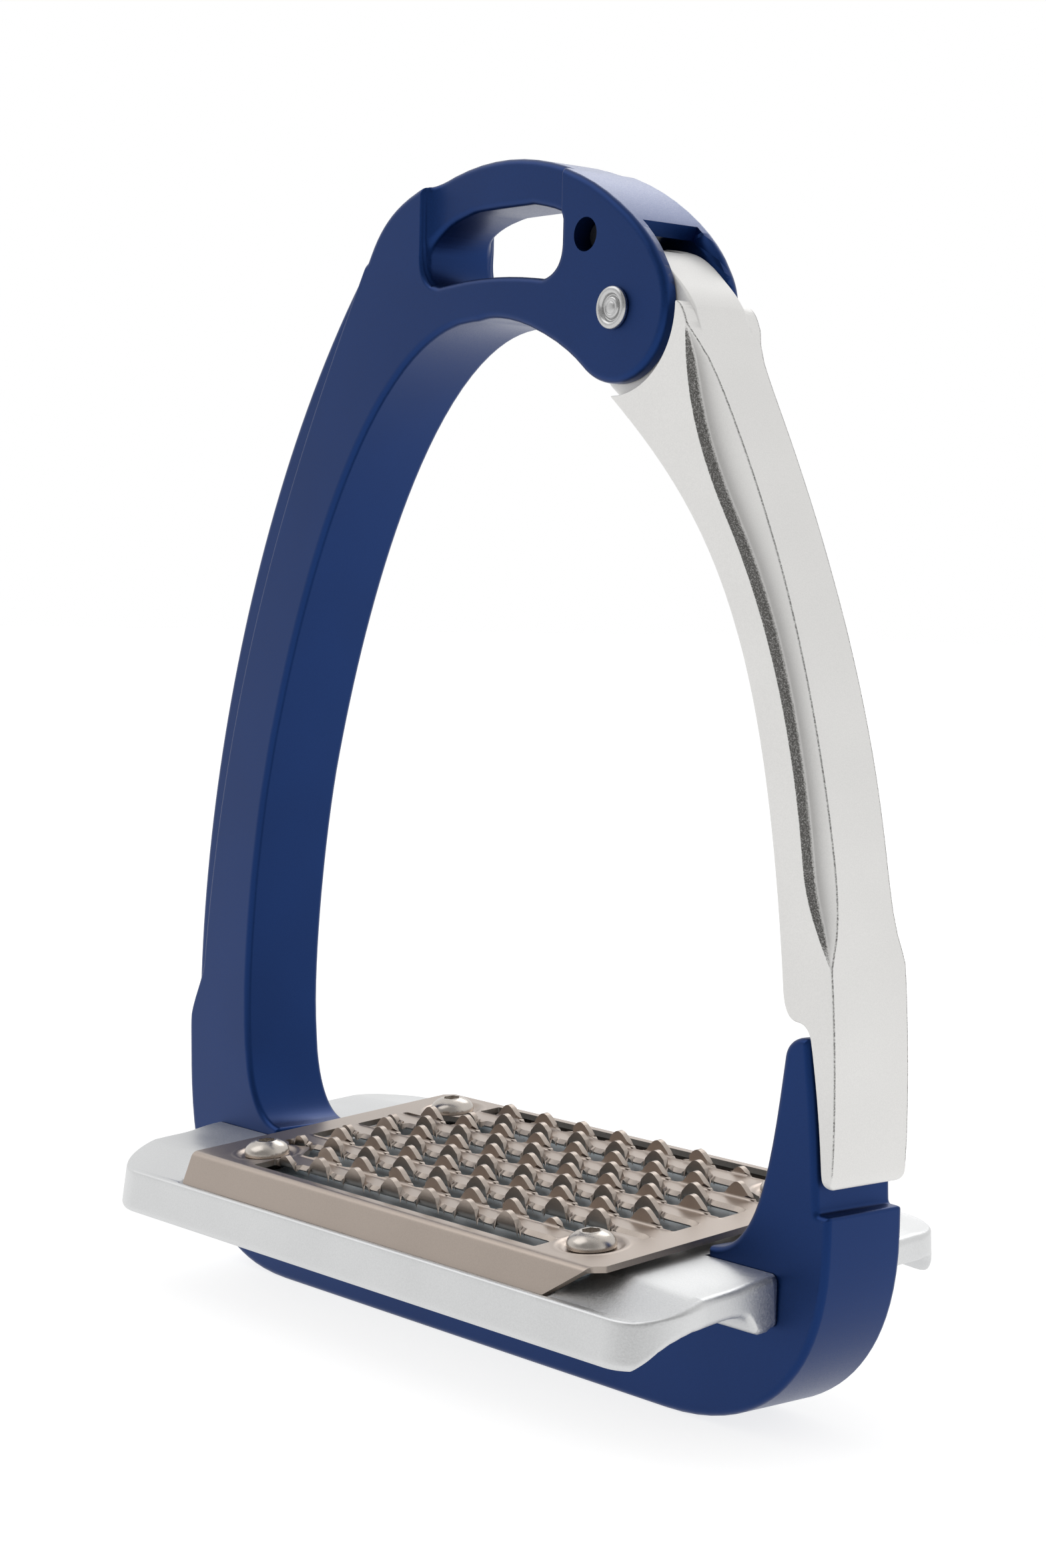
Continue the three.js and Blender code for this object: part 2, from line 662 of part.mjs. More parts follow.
function makeFootbed() {
  let level = footbedBlank();
  for (const side of [-1, 1]) {
    level = level.subtract(footbedRoofCut(side)).subtract(footbedPocket(side));
  }
  level = level.subtract(block(-90, 90, -60, 60, ROOF_LEVEL, 20));
  // room under the rear lip of the plate
  const lipEnd = PLATE_LENGTH / 2 + 0.5;
  level = level.subtract(block(TREAD_X - lipEnd, TREAD_X + lipEnd, PAD_HALF_DEPTH, 28.6,
    RIDGE_LEVEL, 20));
  const insideRim = FOOTBED_HALF_DEPTH - RIM_WALL;
  level = level.subtract(block(-90, 90, -insideRim, insideRim, -20, RIB_BOTTOM));
  const seat = block(-PAD_HALF_LENGTH - FIT_GAP, PAD_HALF_LENGTH + FIT_GAP,
    -PAD_HALF_DEPTH - FIT_GAP, PAD_HALF_DEPTH + FIT_GAP, PAD_BOTTOM - FIT_GAP, 20)
    .translate([TREAD_X, 0, 0]);
  level = level.subtract(seat);
  for (const [x, y] of treadScrewPlaces()) {
    level = level.subtract(rodZ(TREAD_X + x, y, TREAD_BORE_RADIUS, TREAD_BORE_RADIUS, -8.6, 0));
  }
  let solid = layOnTread(level, 0);
  const notch = FRAME_HALF + FIT_GAP;
  solid = solid
    .subtract(block(SEAT_RIGHT - FIT_GAP, 90, -notch, notch, -10, 60))
    .subtract(block(-90, SEAT_LEFT + FIT_GAP, -notch, notch, -10, 60));
  for (const side of [-1, 1]) {
    solid = solid.subtract(rodZ(side * FOOTBED_SCREW_X, 0, 2.8, 2.8, 0, 19));
  }
  return solid;
}

function treadScrewPlaces() {
  const places = [];
  for (const y of [-TREAD_SCREW_Y, TREAD_SCREW_Y]) {
    for (const x of [-TREAD_SCREW_X, TREAD_SCREW_X]) {
      places.push([x, y]);
    }
  }
  return places;
}

addPart('footbed', toGeometry(makeFootbed()), castSilver);

function makeCushionPad() {
  let pad = plank(roundedRectangle(PAD_HALF_LENGTH, PAD_HALF_DEPTH, 3), PAD_BOTTOM, PAD_TOP);
  for (const [x, y] of treadScrewPlaces()) {
    pad = pad.subtract(rodZ(x, y, PAD_BORE_RADIUS, PAD_BORE_RADIUS, PAD_BOTTOM - 1, PAD_TOP + 1));
  }
  return layOnTread(pad);
}

addPart('cushion_pad', toGeometry(makeCushionPad()), greyElastomer);

// ---------------------------------------------------------------- tread plate

function rowY(row) {
  return (row - (ROW_COUNT - 1) / 2) * ROW_PITCH;
}

// Rows beside the screws are shorter than the middle ones.
function rowHalfLength(row) {
  const besideScrews = row < 2 || row > ROW_COUNT - 3;
  return besideScrews ? 31.5 : 40.5;
}

function plateOutline() {
  const halfX = PLATE_LENGTH / 2;
  const halfY = PLATE_DEPTH / 2;
  const shape = new THREE.Shape();
  shape.moveTo(-halfX, -halfY);
  shape.lineTo(halfX - PLATE_CHAMFER, -halfY);
  shape.lineTo(halfX, -halfY + PLATE_CHAMFER);
  shape.lineTo(halfX, halfY);
  shape.lineTo(-halfX + PLATE_CHAMFER, halfY);
  shape.lineTo(-halfX, halfY - PLATE_CHAMFER);
  return shape;
}

// Long openings lie ahead of, between and behind the five strips of teeth.
function slotCuts() {
  const cuts = [];
  for (let row = 0; row <= ROW_COUNT; row += 2) {
    const back = rowY(row) - SHEET / 2;
    const front = back - ROW_PITCH + SHEET;
    const half = Math.min(rowHalfLength(row - 1), rowHalfLength(row)) + 1.5;
    cuts.push(block(-half, half, front, back, -SHEET - 1, 1));
  }
  return cuts;
}

function toothSolid(x, y, scale) {
  const width = TOOTH_HALF_WIDTH * scale;
  const height = TOOTH_HEIGHT * scale;
  const shape = new THREE.Shape();
  shape.moveTo(-width, -SHEET / 2);
  shape.lineTo(width, -SHEET / 2);
  shape.quadraticCurveTo(width * 0.72, height * 0.12, width * 0.4, height * 0.72);
  shape.quadraticCurveTo(0, height * 1.28, -width * 0.4, height * 0.72);
  shape.quadraticCurveTo(-width * 0.72, height * 0.12, -width, -SHEET / 2);
  const geometry = new THREE.ExtrudeGeometry(shape, {
    depth: SHEET,
    curveSegments: 3,
    bevelEnabled: false,
  });
  geometry.rotateX(Math.PI / 2);
  geometry.translate(x, y + SHEET / 2, 0);
  return toSolid(geometry);
}

function toothRow(row) {
  const offset = row % 2 === 0 ? TOOTH_PITCH / 2 : 0;
  const reach = rowHalfLength(row);
  const teeth = [];
  for (let step = -6; step <= 6; step += 1) {
    const x = step * TOOTH_PITCH + offset + TOOTH_SHIFT;
    if (Math.abs(x) < reach) {
      const atEnd = Math.abs(x) > reach - TOOTH_PITCH / 2;
      teeth.push(toothSolid(x, rowY(row), atEnd ? 0.7 : 1));
    }
  }
  return union(teeth);
}

// Folded lip of the plate: leans outwards and is cut back at one end.
function lipSolid(side) {
  const halfX = PLATE_LENGTH / 2;
  const shape = new THREE.Shape();
  shape.moveTo(-halfX, 0);
  shape.lineTo(-halfX, -LIP_DROP);
  shape.lineTo(halfX - LIP_CUT, -LIP_DROP);
  shape.lineTo(halfX - PLATE_CHAMFER, 0);
  const front = slab(shape, 0, SHEET)
    .rotate([-THREE.MathUtils.radToDeg(LIP_LEAN), 0, 0])
    .translate([0, -PLATE_DEPTH / 2, 0]);
  return side < 0 ? front : front.rotate([0, 0, 180]);
}

function makeTreadPlate() {
  let plate = plank(plateOutline(), -SHEET, 0).add(lipSolid(-1)).add(lipSolid(1));
  for (const cut of slotCuts()) {
    plate = plate.subtract(cut);
  }
  for (const [x, y] of treadScrewPlaces()) {
    const cup = rodZ(x, y, DIMPLE_RADIUS - 0.4, DIMPLE_RADIUS, -SHEET - DIMPLE_DEPTH, 0);
    const hollow = rodZ(x, y, DIMPLE_RADIUS - 1, DIMPLE_RADIUS - 0.4, -DIMPLE_DEPTH, 0.5);
    plate = plate.add(cup).subtract(hollow).subtract(rodZ(x, y, 2.4, 2.4, -5, 1));
  }
  for (let row = 0; row < ROW_COUNT; row += 1) {
    plate = plate.add(toothRow(row));
  }
  return layOnTread(plate.trimByPlane([0, 0, 1], -LIP_DROP - 0.2));
}

addPart('tread_plate', toGeometry(makeTreadPlate()), treadSteel);

// --------------------------------------------------------------------- screws

// Button-head socket screw, head underside at level 0, drawn along Z.
function buttonScrew() {
  const radius = SCREW_HEAD_RADIUS;
  const height = SCREW_HEAD_HEIGHT;
  const profile = [
    [0, -7.4],
    [1.6, -7.4],
    [2.0, -7.0],
    [2.0, 0],
    [radius, 0],
    [radius, 0.35],
    [radius * 0.93, 0.95],
    [radius * 0.78, 1.55],
    [radius * 0.55, 2.0],
    [radius * 0.4, height],
    [0, height],
  ];
  const points = profile.map(([r, z]) => new THREE.Vector2(r, z));
  const body = new THREE.LatheGeometry(points, 32);
  body.rotateX(Math.PI / 2);
  const socket = rodZ(0, 0, 1.45, 1.45, 0.9, height + 1, 6);
  return toSolid(body).subtract(socket);
}

function makeTreadScrew(x, y) {
  const seat = FIT_GAP / 2 - DIMPLE_DEPTH;
  return layOnTread(buttonScrew().translate([x, y, seat]));
}

const screwNames = [
  'tread_screw_front_left',
  'tread_screw_front_right',
  'tread_screw_rear_left',
  'tread_screw_rear_right',
];
treadScrewPlaces().forEach(([x, y], index) => {
  addPart(screwNames[index], toGeometry(makeTreadScrew(x, y)), polishedSteel);
});

// Countersunk screw that holds the footbed down, driven from under the base.
function makeFootbedScrew(x) {
  const profile = [
    [0, 0.5],
    [4.9, 0.5],
    [4.9, 0.8],
    [2.5, 3.2],
    [2.5, 17.8],
    [2.0, 18.4],
    [0, 18.4],
  ];
  const points = profile.map(([r, z]) => new THREE.Vector2(r, z));
  const body = new THREE.LatheGeometry(points, 32);
  body.rotateX(Math.PI / 2);
  const socket = rodZ(0, 0, 1.9, 1.9, -1, 2.4, 6);
  return toSolid(body).subtract(socket).translate([x, 0, 0]);
}

addPart('footbed_screw_left', toGeometry(makeFootbedScrew(-FOOTBED_SCREW_X)), blackOxide);
addPart('footbed_screw_right', toGeometry(makeFootbedScrew(FOOTBED_SCREW_X)), blackOxide);

export default parts;
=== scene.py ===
# Looks of the stirrup iron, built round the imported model.
# Lengths are millimetres until a mesh is written, which turns them into metres.

import math

import bpy
import numpy as np
from mathutils import Matrix, Vector
from mathutils.geometry import delaunay_2d_cdt


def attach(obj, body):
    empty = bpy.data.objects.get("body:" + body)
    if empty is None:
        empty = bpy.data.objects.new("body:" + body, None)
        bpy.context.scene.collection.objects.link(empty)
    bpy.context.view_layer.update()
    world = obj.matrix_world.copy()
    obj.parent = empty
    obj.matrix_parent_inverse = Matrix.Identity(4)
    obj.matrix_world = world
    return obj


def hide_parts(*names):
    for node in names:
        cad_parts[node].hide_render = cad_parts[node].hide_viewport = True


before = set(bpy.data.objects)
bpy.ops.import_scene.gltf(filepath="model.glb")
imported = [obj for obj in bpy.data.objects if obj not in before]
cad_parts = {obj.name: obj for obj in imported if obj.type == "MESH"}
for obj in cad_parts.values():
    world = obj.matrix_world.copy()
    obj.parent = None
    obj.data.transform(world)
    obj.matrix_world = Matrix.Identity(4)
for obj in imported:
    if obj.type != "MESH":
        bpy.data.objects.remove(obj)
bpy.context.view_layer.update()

MM = 0.001

# --------------------------------------------------- dimensions

FRAME_HALF = 7.2
ARM_HALF = 7.1
SCALLOP_DEPTH = 1.9
BAR_HALF = 5.2
SLOT_LEFT = -15.3
SLOT_RIGHT = 16.2
SLOT_FLOOR = 157.0
SLOT_CORNER = 4.0
BAR_UNDERSIDE = 167.3
PIN = (27.9, 151.1)
ANCHOR = (21.5, 161.7)
ANCHOR_HOLE_RADIUS = 2.4
CHEEK_RADIUS = 10.4
CLEVIS_HALF = 5.2
TONGUE_HALF = 4.9
TONGUE_RADIUS = 8.8
SHOULDER_RADIUS = 12.1
SEAT_Z = 15.0
SHOULDER_Z = 24.2
SEAT_LEFT = -48.4
SEAT_RIGHT = 51.6
LEDGE_Z = 31.9
FOOTBED_SCREW_X = 26.0
FOOTBED_SCREW_BORE = 2.8
FOOTBED_SCREW_SINK = 5.2         # countersink under the base bar
PIN_BORE = 2.5
THROUGH = 9                      # half length of a bore that passes through every piece

TREAD_TILT = math.radians(4.8)
TREAD_Z = 25.3
TREAD_X = 2.8
SHEET = 0.9
PLATE_LENGTH = 94.6
TOOTH_PITCH = 8.8
ROW_PITCH = 4.55
ROW_COUNT = 10
TOOTH_SHIFT = 0.9
SCREW_X = 38.0
SCREW_Y = 18.5


# ---------------------------------------------- outline drawing

def bezier(points, steps):
    """Points along a Bezier curve of any degree, without its first one."""
    t = np.linspace(0, 1, steps + 1)[1:, None]
    layer = [np.asarray(p, float) * np.ones_like(t) for p in points]
    while len(layer) > 1:
        layer = [(1 - t) * a + t * b for a, b in zip(layer, layer[1:])]
    return layer[0]


def polar(centre, radius, degrees):
    angle = math.radians(degrees)
    return (centre[0] + radius * math.cos(angle), centre[1] + radius * math.sin(angle))


class Pen:
    """Draws an outline from straight lines, curves and arcs."""

    def __init__(self, a, b):
        self.runs = [np.array([[a, b]], float)]

    def to(self, *controls):
        """A line to one point, or a curve shaped by the points before the last."""
        chain = [self.runs[-1][-1], *controls]
        length = sum(math.dist(p, q) for p, q in zip(chain, chain[1:]))
        self.runs.append(bezier(chain, max(1, int(length / 0.4))))
        return self

    def arc(self, centre, radius, start, end):
        count = max(2, int(abs(math.radians(end - start)) * radius / 0.3))
        angles = np.radians(np.linspace(start, end, count + 1))
        ring = np.column_stack([np.cos(angles), np.sin(angles)]) * radius
        self.runs.append(ring + np.array(centre))
        return self

    def points(self):
        return np.vstack(self.runs)


def circle(centre, radius, count=48):
    angles = np.linspace(0, 2 * math.pi, count, endpoint=False)
    return np.column_stack([np.cos(angles), np.sin(angles)]) * radius + np.array(centre)


def evenly(points, step, closed=True):
    """The same line with its points a constant step apart."""
    line = np.vstack([points, points[:1]]) if closed else points
    lengths = np.linalg.norm(np.diff(line, axis=0), axis=1)
    line = line[np.concatenate([[True], lengths > 1e-7])]
    along = np.concatenate([[0], np.cumsum(np.linalg.norm(np.diff(line, axis=0), axis=1))])
    count = max(3, int(along[-1] / step))
    at = np.linspace(0, along[-1], count, endpoint=not closed)
    return np.column_stack([np.interp(at, along, line[:, k]) for k in (0, 1)])


def thinned(points, turn=math.radians(4), longest=3.0):
    """Leaves out points on straight stretches, where they add nothing."""
    steps = np.roll(points, -1, 0) - points
    heading = np.unwrap(np.arctan2(steps[:, 1], steps[:, 0]))
    kept = [0]
    for index in range(1, len(points)):
        turned = abs(heading[index] - heading[kept[-1]]) > turn
        if turned or math.dist(points[index], points[kept[-1]]) > longest:
            kept.append(index)
    return points[kept]


def softened(points, radius, step=0.12):
    """A closed outline with its corners eased to about the radius, anticlockwise."""
    even = evenly(points, step)
    spread = max(1, int(2.4 * radius / step))
    weights = np.exp(-0.5 * (np.arange(-spread, spread + 1) * step / (0.55 * radius)) ** 2)
    weights /= weights.sum()
    wrapped = np.vstack([even[-spread:], even, even[:spread]])
    smooth = np.column_stack([np.convolve(wrapped[:, k], weights, "valid") for k in (0, 1)])
    return anticlockwise(thinned(smooth))


def area_of(loop):
    after = np.roll(loop, -1, 0)
    return 0.5 * np.sum(loop[:, 0] * after[:, 1] - after[:, 0] * loop[:, 1])


def anticlockwise(loop):
    return loop if area_of(loop) > 0 else loop[::-1]


def in_parts(measure, points):
    """Runs a measure over many points, a few hundred at a time."""
    return np.concatenate([measure(part) for part in np.array_split(points, len(points) // 400 + 1)])


def inside(points, loop):
    """True for each point inside the closed outline."""
    a = loop
    b = np.roll(loop, -1, 0)
    rise = np.where(b[:, 1] == a[:, 1], 1e-12, b[:, 1] - a[:, 1])

    def measure(part):
        x = part[:, 0:1]
        z = part[:, 1:2]
        crosses = (a[:, 1] > z) != (b[:, 1] > z)
        at = a[:, 0] + (z - a[:, 1]) / rise * (b[:, 0] - a[:, 0])
        return (crosses & (x < at)).sum(1) % 2 == 1

    return in_parts(measure, points)


def distance_to(points, line, closed=True):
    """How far each point is from a line of straight steps."""
    a = line if closed else line[:-1]
    b = np.roll(line, -1, 0) if closed else line[1:]
    ab = b - a
    squared = np.maximum((ab ** 2).sum(1), 1e-12)

    def measure(part):
        ap = part[:, None, :] - a[None]
        t = np.clip((ap * ab).sum(2) / squared, 0, 1)
        return np.sqrt(((ap - t[..., None] * ab) ** 2).sum(2).min(1))

    return in_parts(measure, points)


def signed_distance(points, region):
    """Distance from a region's outline, positive inside it."""
    return distance_to(points, region) * np.where(inside(points, region), 1, -1)


def moved_in(loop, amount):
    """A closed outline moved to its left, which is inwards when anticlockwise."""
    along = np.roll(loop, -1, 0) - np.roll(loop, 1, 0)
    along /= np.maximum(np.linalg.norm(along, axis=1, keepdims=True), 1e-9)
    left = np.column_stack([-along[:, 1], along[:, 0]])
    return loop + left * np.reshape(amount, (-1, 1))


def smoothstep(value, low, high):
    t = np.clip((value - low) / (high - low), 0, 1)
    return t * t * (3 - 2 * t)


# -------------------------------------------- solids from plans

def plan_triangles(loops, lines):
    """Triangles that fill the first outline less the others, with the lines as edges."""
    points = []
    edges = []
    for line, closed in lines:
        start = len(points)
        points.extend(line.tolist())
        last = len(line) if closed else len(line) - 1
        edges.extend((start + k, start + (k + 1) % len(line)) for k in range(last))
    result = delaunay_2d_cdt([Vector(p) for p in points], edges, [], 0, 1e-4)
    plan = np.array([tuple(p) for p in result[0]])
    faces = np.array([f for f in result[2] if len(f) == 3])
    middles = plan[faces].mean(1)
    keep = inside(middles, loops[0])
    for hole in loops[1:]:
        keep &= ~inside(middles, hole)
    faces = faces[keep]
    used, faces = np.unique(faces, return_inverse=True)
    return plan[used], faces.reshape(-1, 3)


def border_edges(faces):
    """Edges with one triangle only, running the way that triangle does."""
    directed = np.vstack([faces[:, [0, 1]], faces[:, [1, 2]], faces[:, [2, 0]]])
    forward = {tuple(e) for e in directed.tolist()}
    return [e for e in forward if (e[1], e[0]) not in forward]


class Relief:
    """A solid between two height fields that stand on one plan outline."""

    def __init__(self, loops, rings, regions=(), lines=()):
        """rings are distances in from every outline, regions are (outline, distances)."""
        lines = [(line, False) for line in lines]
        for loop in loops:
            lines.extend((moved_in(loop, ring), True) for ring in rings)
        for outline, distances in regions:
            lines.extend((moved_in(outline, d), True) for d in distances)
        self.plan, self.faces = plan_triangles(loops, lines)
        self.edge = np.min([distance_to(self.plan, loop) for loop in loops], axis=0)
        self.edge[np.unique(border_edges(self.faces))] = 0.0

    def solid(self, low, high, place, row=0.0):
        """Vertices and faces, with the heights low and high placed in space.

        A row above zero adds a line of vertices that far down each side wall.
        """
        count = len(self.plan)
        border = border_edges(self.faces)
        points = [self.plan, self.plan]
        heights = [low, high]
        levels = [{v: v for v in range(count)}, {v: v + count for v in range(count)}]
        if row > 0:
            rim = np.unique(border)
            points += [self.plan[rim], self.plan[rim]]
            heights += [low[rim] + row, high[rim] - row]
            starts = (2 * count, 2 * count + len(rim))
            levels[1:1] = [{v: start + k for k, v in enumerate(rim)} for start in starts]
        faces = self.faces[:, ::-1].tolist()
        faces += (self.faces + count).tolist()
        for lower, upper in zip(levels, levels[1:]):
            faces += [(upper[b], upper[a], lower[a], lower[b]) for a, b in border]
        plan = np.vstack(points)
        return np.column_stack(place(plan[:, 0], plan[:, 1], np.concatenate(heights))), faces


def upright(a, b, height):
    """Plan in X and Z, height towards the front."""
    return a, -height, b


def on_tread(a, b, height):
    """Level plan in X and Y, laid on the tilted tread."""
    y = b * math.cos(TREAD_TILT) - height * math.sin(TREAD_TILT)
    z = b * math.sin(TREAD_TILT) + height * math.cos(TREAD_TILT) + TREAD_Z
    return a, y, z


def on_plate(a, b, height):
    """Laid on the tilted tread, from the middle of the plate."""
    return on_tread(a + TREAD_X, b, height)


def rounding(edge, radius):
    """How far a rounded edge has dropped at a distance from the outline."""
    left = np.clip(radius - edge, 0, radius)
    return radius - np.sqrt(np.maximum(radius ** 2 - left ** 2, 0))


def step_down(signed, depth, crest, foot, lean=0.12, stretch=1.0):
    """Depth below a ledge whose wall starts at zero: rounded crest, wall, filleted foot.

    The fillet at the foot is wider than it is high by the stretch.
    """
    crest_part = np.where(signed < 0, rounding(-signed, crest), crest)
    wall = crest + (depth - crest - foot) * np.clip(signed / lean, 0, 1)
    left = np.clip(foot - (signed - lean) / stretch, 0, foot)
    foot_part = depth - (foot - np.sqrt(np.maximum(foot ** 2 - left ** 2, 0)))
    return np.where(signed < 0, crest_part, np.where(signed < lean, wall, foot_part))


def round_rings(radius, steps=5):
    """Distances from an outline that sample a quarter round evenly."""
    angles = np.linspace(0, math.pi / 2, steps + 1)
    return [radius * (1 - math.cos(a)) for a in angles] + [radius + 0.25]


def step_rings(crest, foot, lean=0.12, stretch=1.0):
    """Distances from a ledge's wall that sample its crest and foot."""
    crest_side = [-r for r in round_rings(crest, 3)]
    foot_side = [lean + r * stretch for r in round_rings(foot, 4)]
    return sorted({0.0, *crest_side, *foot_side})


def add_piece(name, vertices, faces, materials, zones=None, sharp=34):
    mesh = bpy.data.meshes.new(name)
    mesh.from_pydata((np.asarray(vertices) * MM).tolist(), [], [tuple(f) for f in faces])
    for material in materials:
        mesh.materials.append(material)
    if zones is not None:
        mesh.polygons.foreach_set("material_index", np.asarray(zones, np.int32))
    mesh.update()
    mesh.validate()
    piece = bpy.data.objects.new(name, mesh)
    bpy.context.scene.collection.objects.link(piece)
    shade(piece, sharp)
    return piece


def shade(piece, sharp):
    """Smooth shading that keeps creases sharper than the angle, weighted to flat faces."""
    mesh = piece.data
    mesh.polygons.foreach_set("use_smooth", [True] * len(mesh.polygons))
    mesh.set_sharp_from_angle(angle=math.radians(sharp))
    if "flat_faces" not in piece.modifiers:
        modifier = piece.modifiers.new("flat_faces", "WEIGHTED_NORMAL")
        modifier.keep_sharp = True
        modifier.weight = 60


def prism(outline, low, high, place=upright):
    """A straight-sided solid over an outline."""
    relief = Relief([anticlockwise(outline)], [0.0])
    flat = np.ones(len(relief.plan))
    return relief.solid(flat * low, flat * high, place)


def turned(profile, count=64):
    """Vertices and faces of a closed solid turned about Z from (radius, height) points."""
    angles = np.linspace(0, 2 * math.pi, count, endpoint=False)
    vertices = []
    faces = []
    rings = []
    for radius, height in profile:
        if radius < 1e-6:
            rings.append([len(vertices)] * count)
            vertices.append((0, 0, height))
            continue
        rings.append(list(range(len(vertices), len(vertices) + count)))
        vertices.extend((radius * math.cos(a), radius * math.sin(a), height) for a in angles)
    for lower, upper in zip(rings, rings[1:]):
        for k in range(count):
            quad = [lower[k], lower[(k + 1) % count], upper[(k + 1) % count], upper[k]]
            face = list(dict.fromkeys(quad))
            if len(face) > 2:
                faces.append(tuple(face))
    return np.array(vertices, float), faces


def cut(piece, solids, sharp=34):
    """Cuts the solids out of a piece with an exact boolean, and applies it."""
    change(piece, solids, "DIFFERENCE", sharp)


def change(piece, solids, operation, sharp):
    """Applies an exact boolean with each solid in turn, and removes the solid."""
    for vertices, faces in solids:
        cutter = add_piece("tool", vertices, faces, [])
        boolean = piece.modifiers.new("cut", "BOOLEAN")
        boolean.operation = operation
        boolean.solver = "EXACT"
        boolean.object = cutter
        piece.modifiers.remove(piece.modifiers["flat_faces"])
        graph = bpy.context.evaluated_depsgraph_get()
        graph.update()
        cleaned = bpy.data.meshes.new_from_object(piece.evaluated_get(graph))
        old = piece.data
        piece.modifiers.remove(boolean)
        piece.data = cleaned
        cleaned.name = piece.name
        bpy.data.meshes.remove(old)
        bpy.data.meshes.remove(cutter.data)
        shade(piece, sharp)


# ---------------------------------------------------- materials

class Surface:
    """A procedural material on one Principled shader, built up feature by feature."""

    def __init__(self, name, colour, metallic, roughness):
        self.material = bpy.data.materials.new(name)
        self.material.use_nodes = True
        self.tree = self.material.node_tree
        self.shader = self.tree.nodes["Principled BSDF"]
        self.shader.inputs["Base Color"].default_value = (*colour, 1)
        self.shader.inputs["Metallic"].default_value = metallic
        self.shader.inputs["Roughness"].default_value = roughness
        place = self.tree.nodes.new("ShaderNodeTexCoord")
        self.place = place.outputs["Object"]

    def node(self, kind, **values):
        made = self.tree.nodes.new(kind)
        for key, value in values.items():
            if key in made.inputs:
                made.inputs[key].default_value = value
            else:
                setattr(made, key, value)
        return made

    def link(self, start, end):
        self.tree.links.new(start, end)

    def noise(self, size, detail=2.0, contrast=0.5):
        """Cloudy noise of a feature size in millimetres."""
        made = self.node("ShaderNodeTexNoise", Scale=1 / (size * MM), Detail=detail, Roughness=contrast)
        self.link(self.place, made.inputs["Vector"])
        return made.outputs["Fac"]

    def ramped(self, value, low, high, out_low, out_high):
        """Maps a value's range onto another, held at both ends."""
        made = self.node("ShaderNodeMapRange")
        made.clamp = True
        for key, number in zip(("From Min", "From Max", "To Min", "To Max"), (low, high, out_low, out_high)):
            made.inputs[key].default_value = number
        self.link(value, made.inputs["Value"])
        return made.outputs["Result"]

    def tint(self, value, colour_low, colour_high):
        """Base colour that runs between two colours with the value."""
        made = self.node("ShaderNodeMix", data_type="RGBA")
        made.inputs[6].default_value = (*colour_low, 1)
        made.inputs[7].default_value = (*colour_high, 1)
        self.link(value, made.inputs[0])
        self.link(made.outputs[2], self.shader.inputs["Base Color"])

    def roughen(self, value, low, high):
        self.link(self.ramped(value, 0.3, 0.7, low, high), self.shader.inputs["Roughness"])

    def shade_and_dark_edge(self, name, colour, grain):
        """Covers the base colour with a speckled second one where a mesh attribute says, for painted shade
        and a dark edge line.
        """
        where = self.node("ShaderNodeAttribute", attribute_name=name)
        speckle = self.ramped(self.noise(grain, detail=3.0, contrast=0.7), 0.35, 0.65, -0.45, 0.45)
        total = self.node("ShaderNodeMath", operation="ADD", use_clamp=True)
        self.link(where.outputs["Fac"], total.inputs[0])
        self.link(speckle, total.inputs[1])
        cover = self.node("ShaderNodeMath", operation="MULTIPLY", use_clamp=True)
        self.link(total.outputs[0], cover.inputs[0])
        self.link(self.ramped(where.outputs["Fac"], 0.02, 0.3, 0.0, 1.0), cover.inputs[1])
        base = self.shader.inputs["Base Color"]
        made = self.node("ShaderNodeMix", data_type="RGBA")
        self.link(base.links[0].from_socket, made.inputs[6])
        made.inputs[7].default_value = (*colour, 1)
        self.link(cover.outputs[0], made.inputs[0])
        self.link(made.outputs[2], base)

    def coat(self, weight, ior, roughness):
        """A clear layer over the metal, which brightens surfaces seen at a shallow angle."""
        self.shader.inputs["Coat Weight"].default_value = weight
        self.shader.inputs["Coat IOR"].default_value = ior
        self.shader.inputs["Coat Roughness"].default_value = roughness

    def bump(self, value, depth):
        """Relief of a depth in millimetres."""
        made = self.node("ShaderNodeBump", Strength=1.0, Distance=depth * MM)
        self.link(value, made.inputs["Height"])
        self.link(made.outputs["Normal"], self.shader.inputs["Normal"])


def scaled(colour, factor):
    return tuple(min(1.0, c * factor) for c in colour)


def grained(name, colour, metallic, roughness, grain, spread, depth, cloud=14.0):
    """Blasted or coated metal: fine grain in colour, gloss and relief, and faint clouds."""
    surface = Surface(name, colour, metallic, roughness)
    fine = surface.noise(grain, detail=2.0, contrast=0.6)
    broad = surface.noise(cloud, detail=1.0)
    mixed = surface.node("ShaderNodeMath", operation="ADD")
    surface.link(surface.ramped(fine, 0.3, 0.7, 0.0, 0.75), mixed.inputs[0])
    surface.link(surface.ramped(broad, 0.35, 0.65, 0.0, 0.25), mixed.inputs[1])
    surface.tint(mixed.outputs[0], scaled(colour, 1 - spread), scaled(colour, 1 + spread))
    surface.roughen(fine, roughness - 0.05, roughness + 0.07)
    surface.bump(fine, depth)
    return surface


NAVY = (0.0044, 0.0278, 0.1240)
ARM_SILVER = (0.770, 0.762, 0.746)
FOOTBED_SILVER = (0.65, 0.655, 0.657)
TREAD_BROWN = (0.420, 0.358, 0.313)
STEEL = (0.50, 0.46, 0.42)

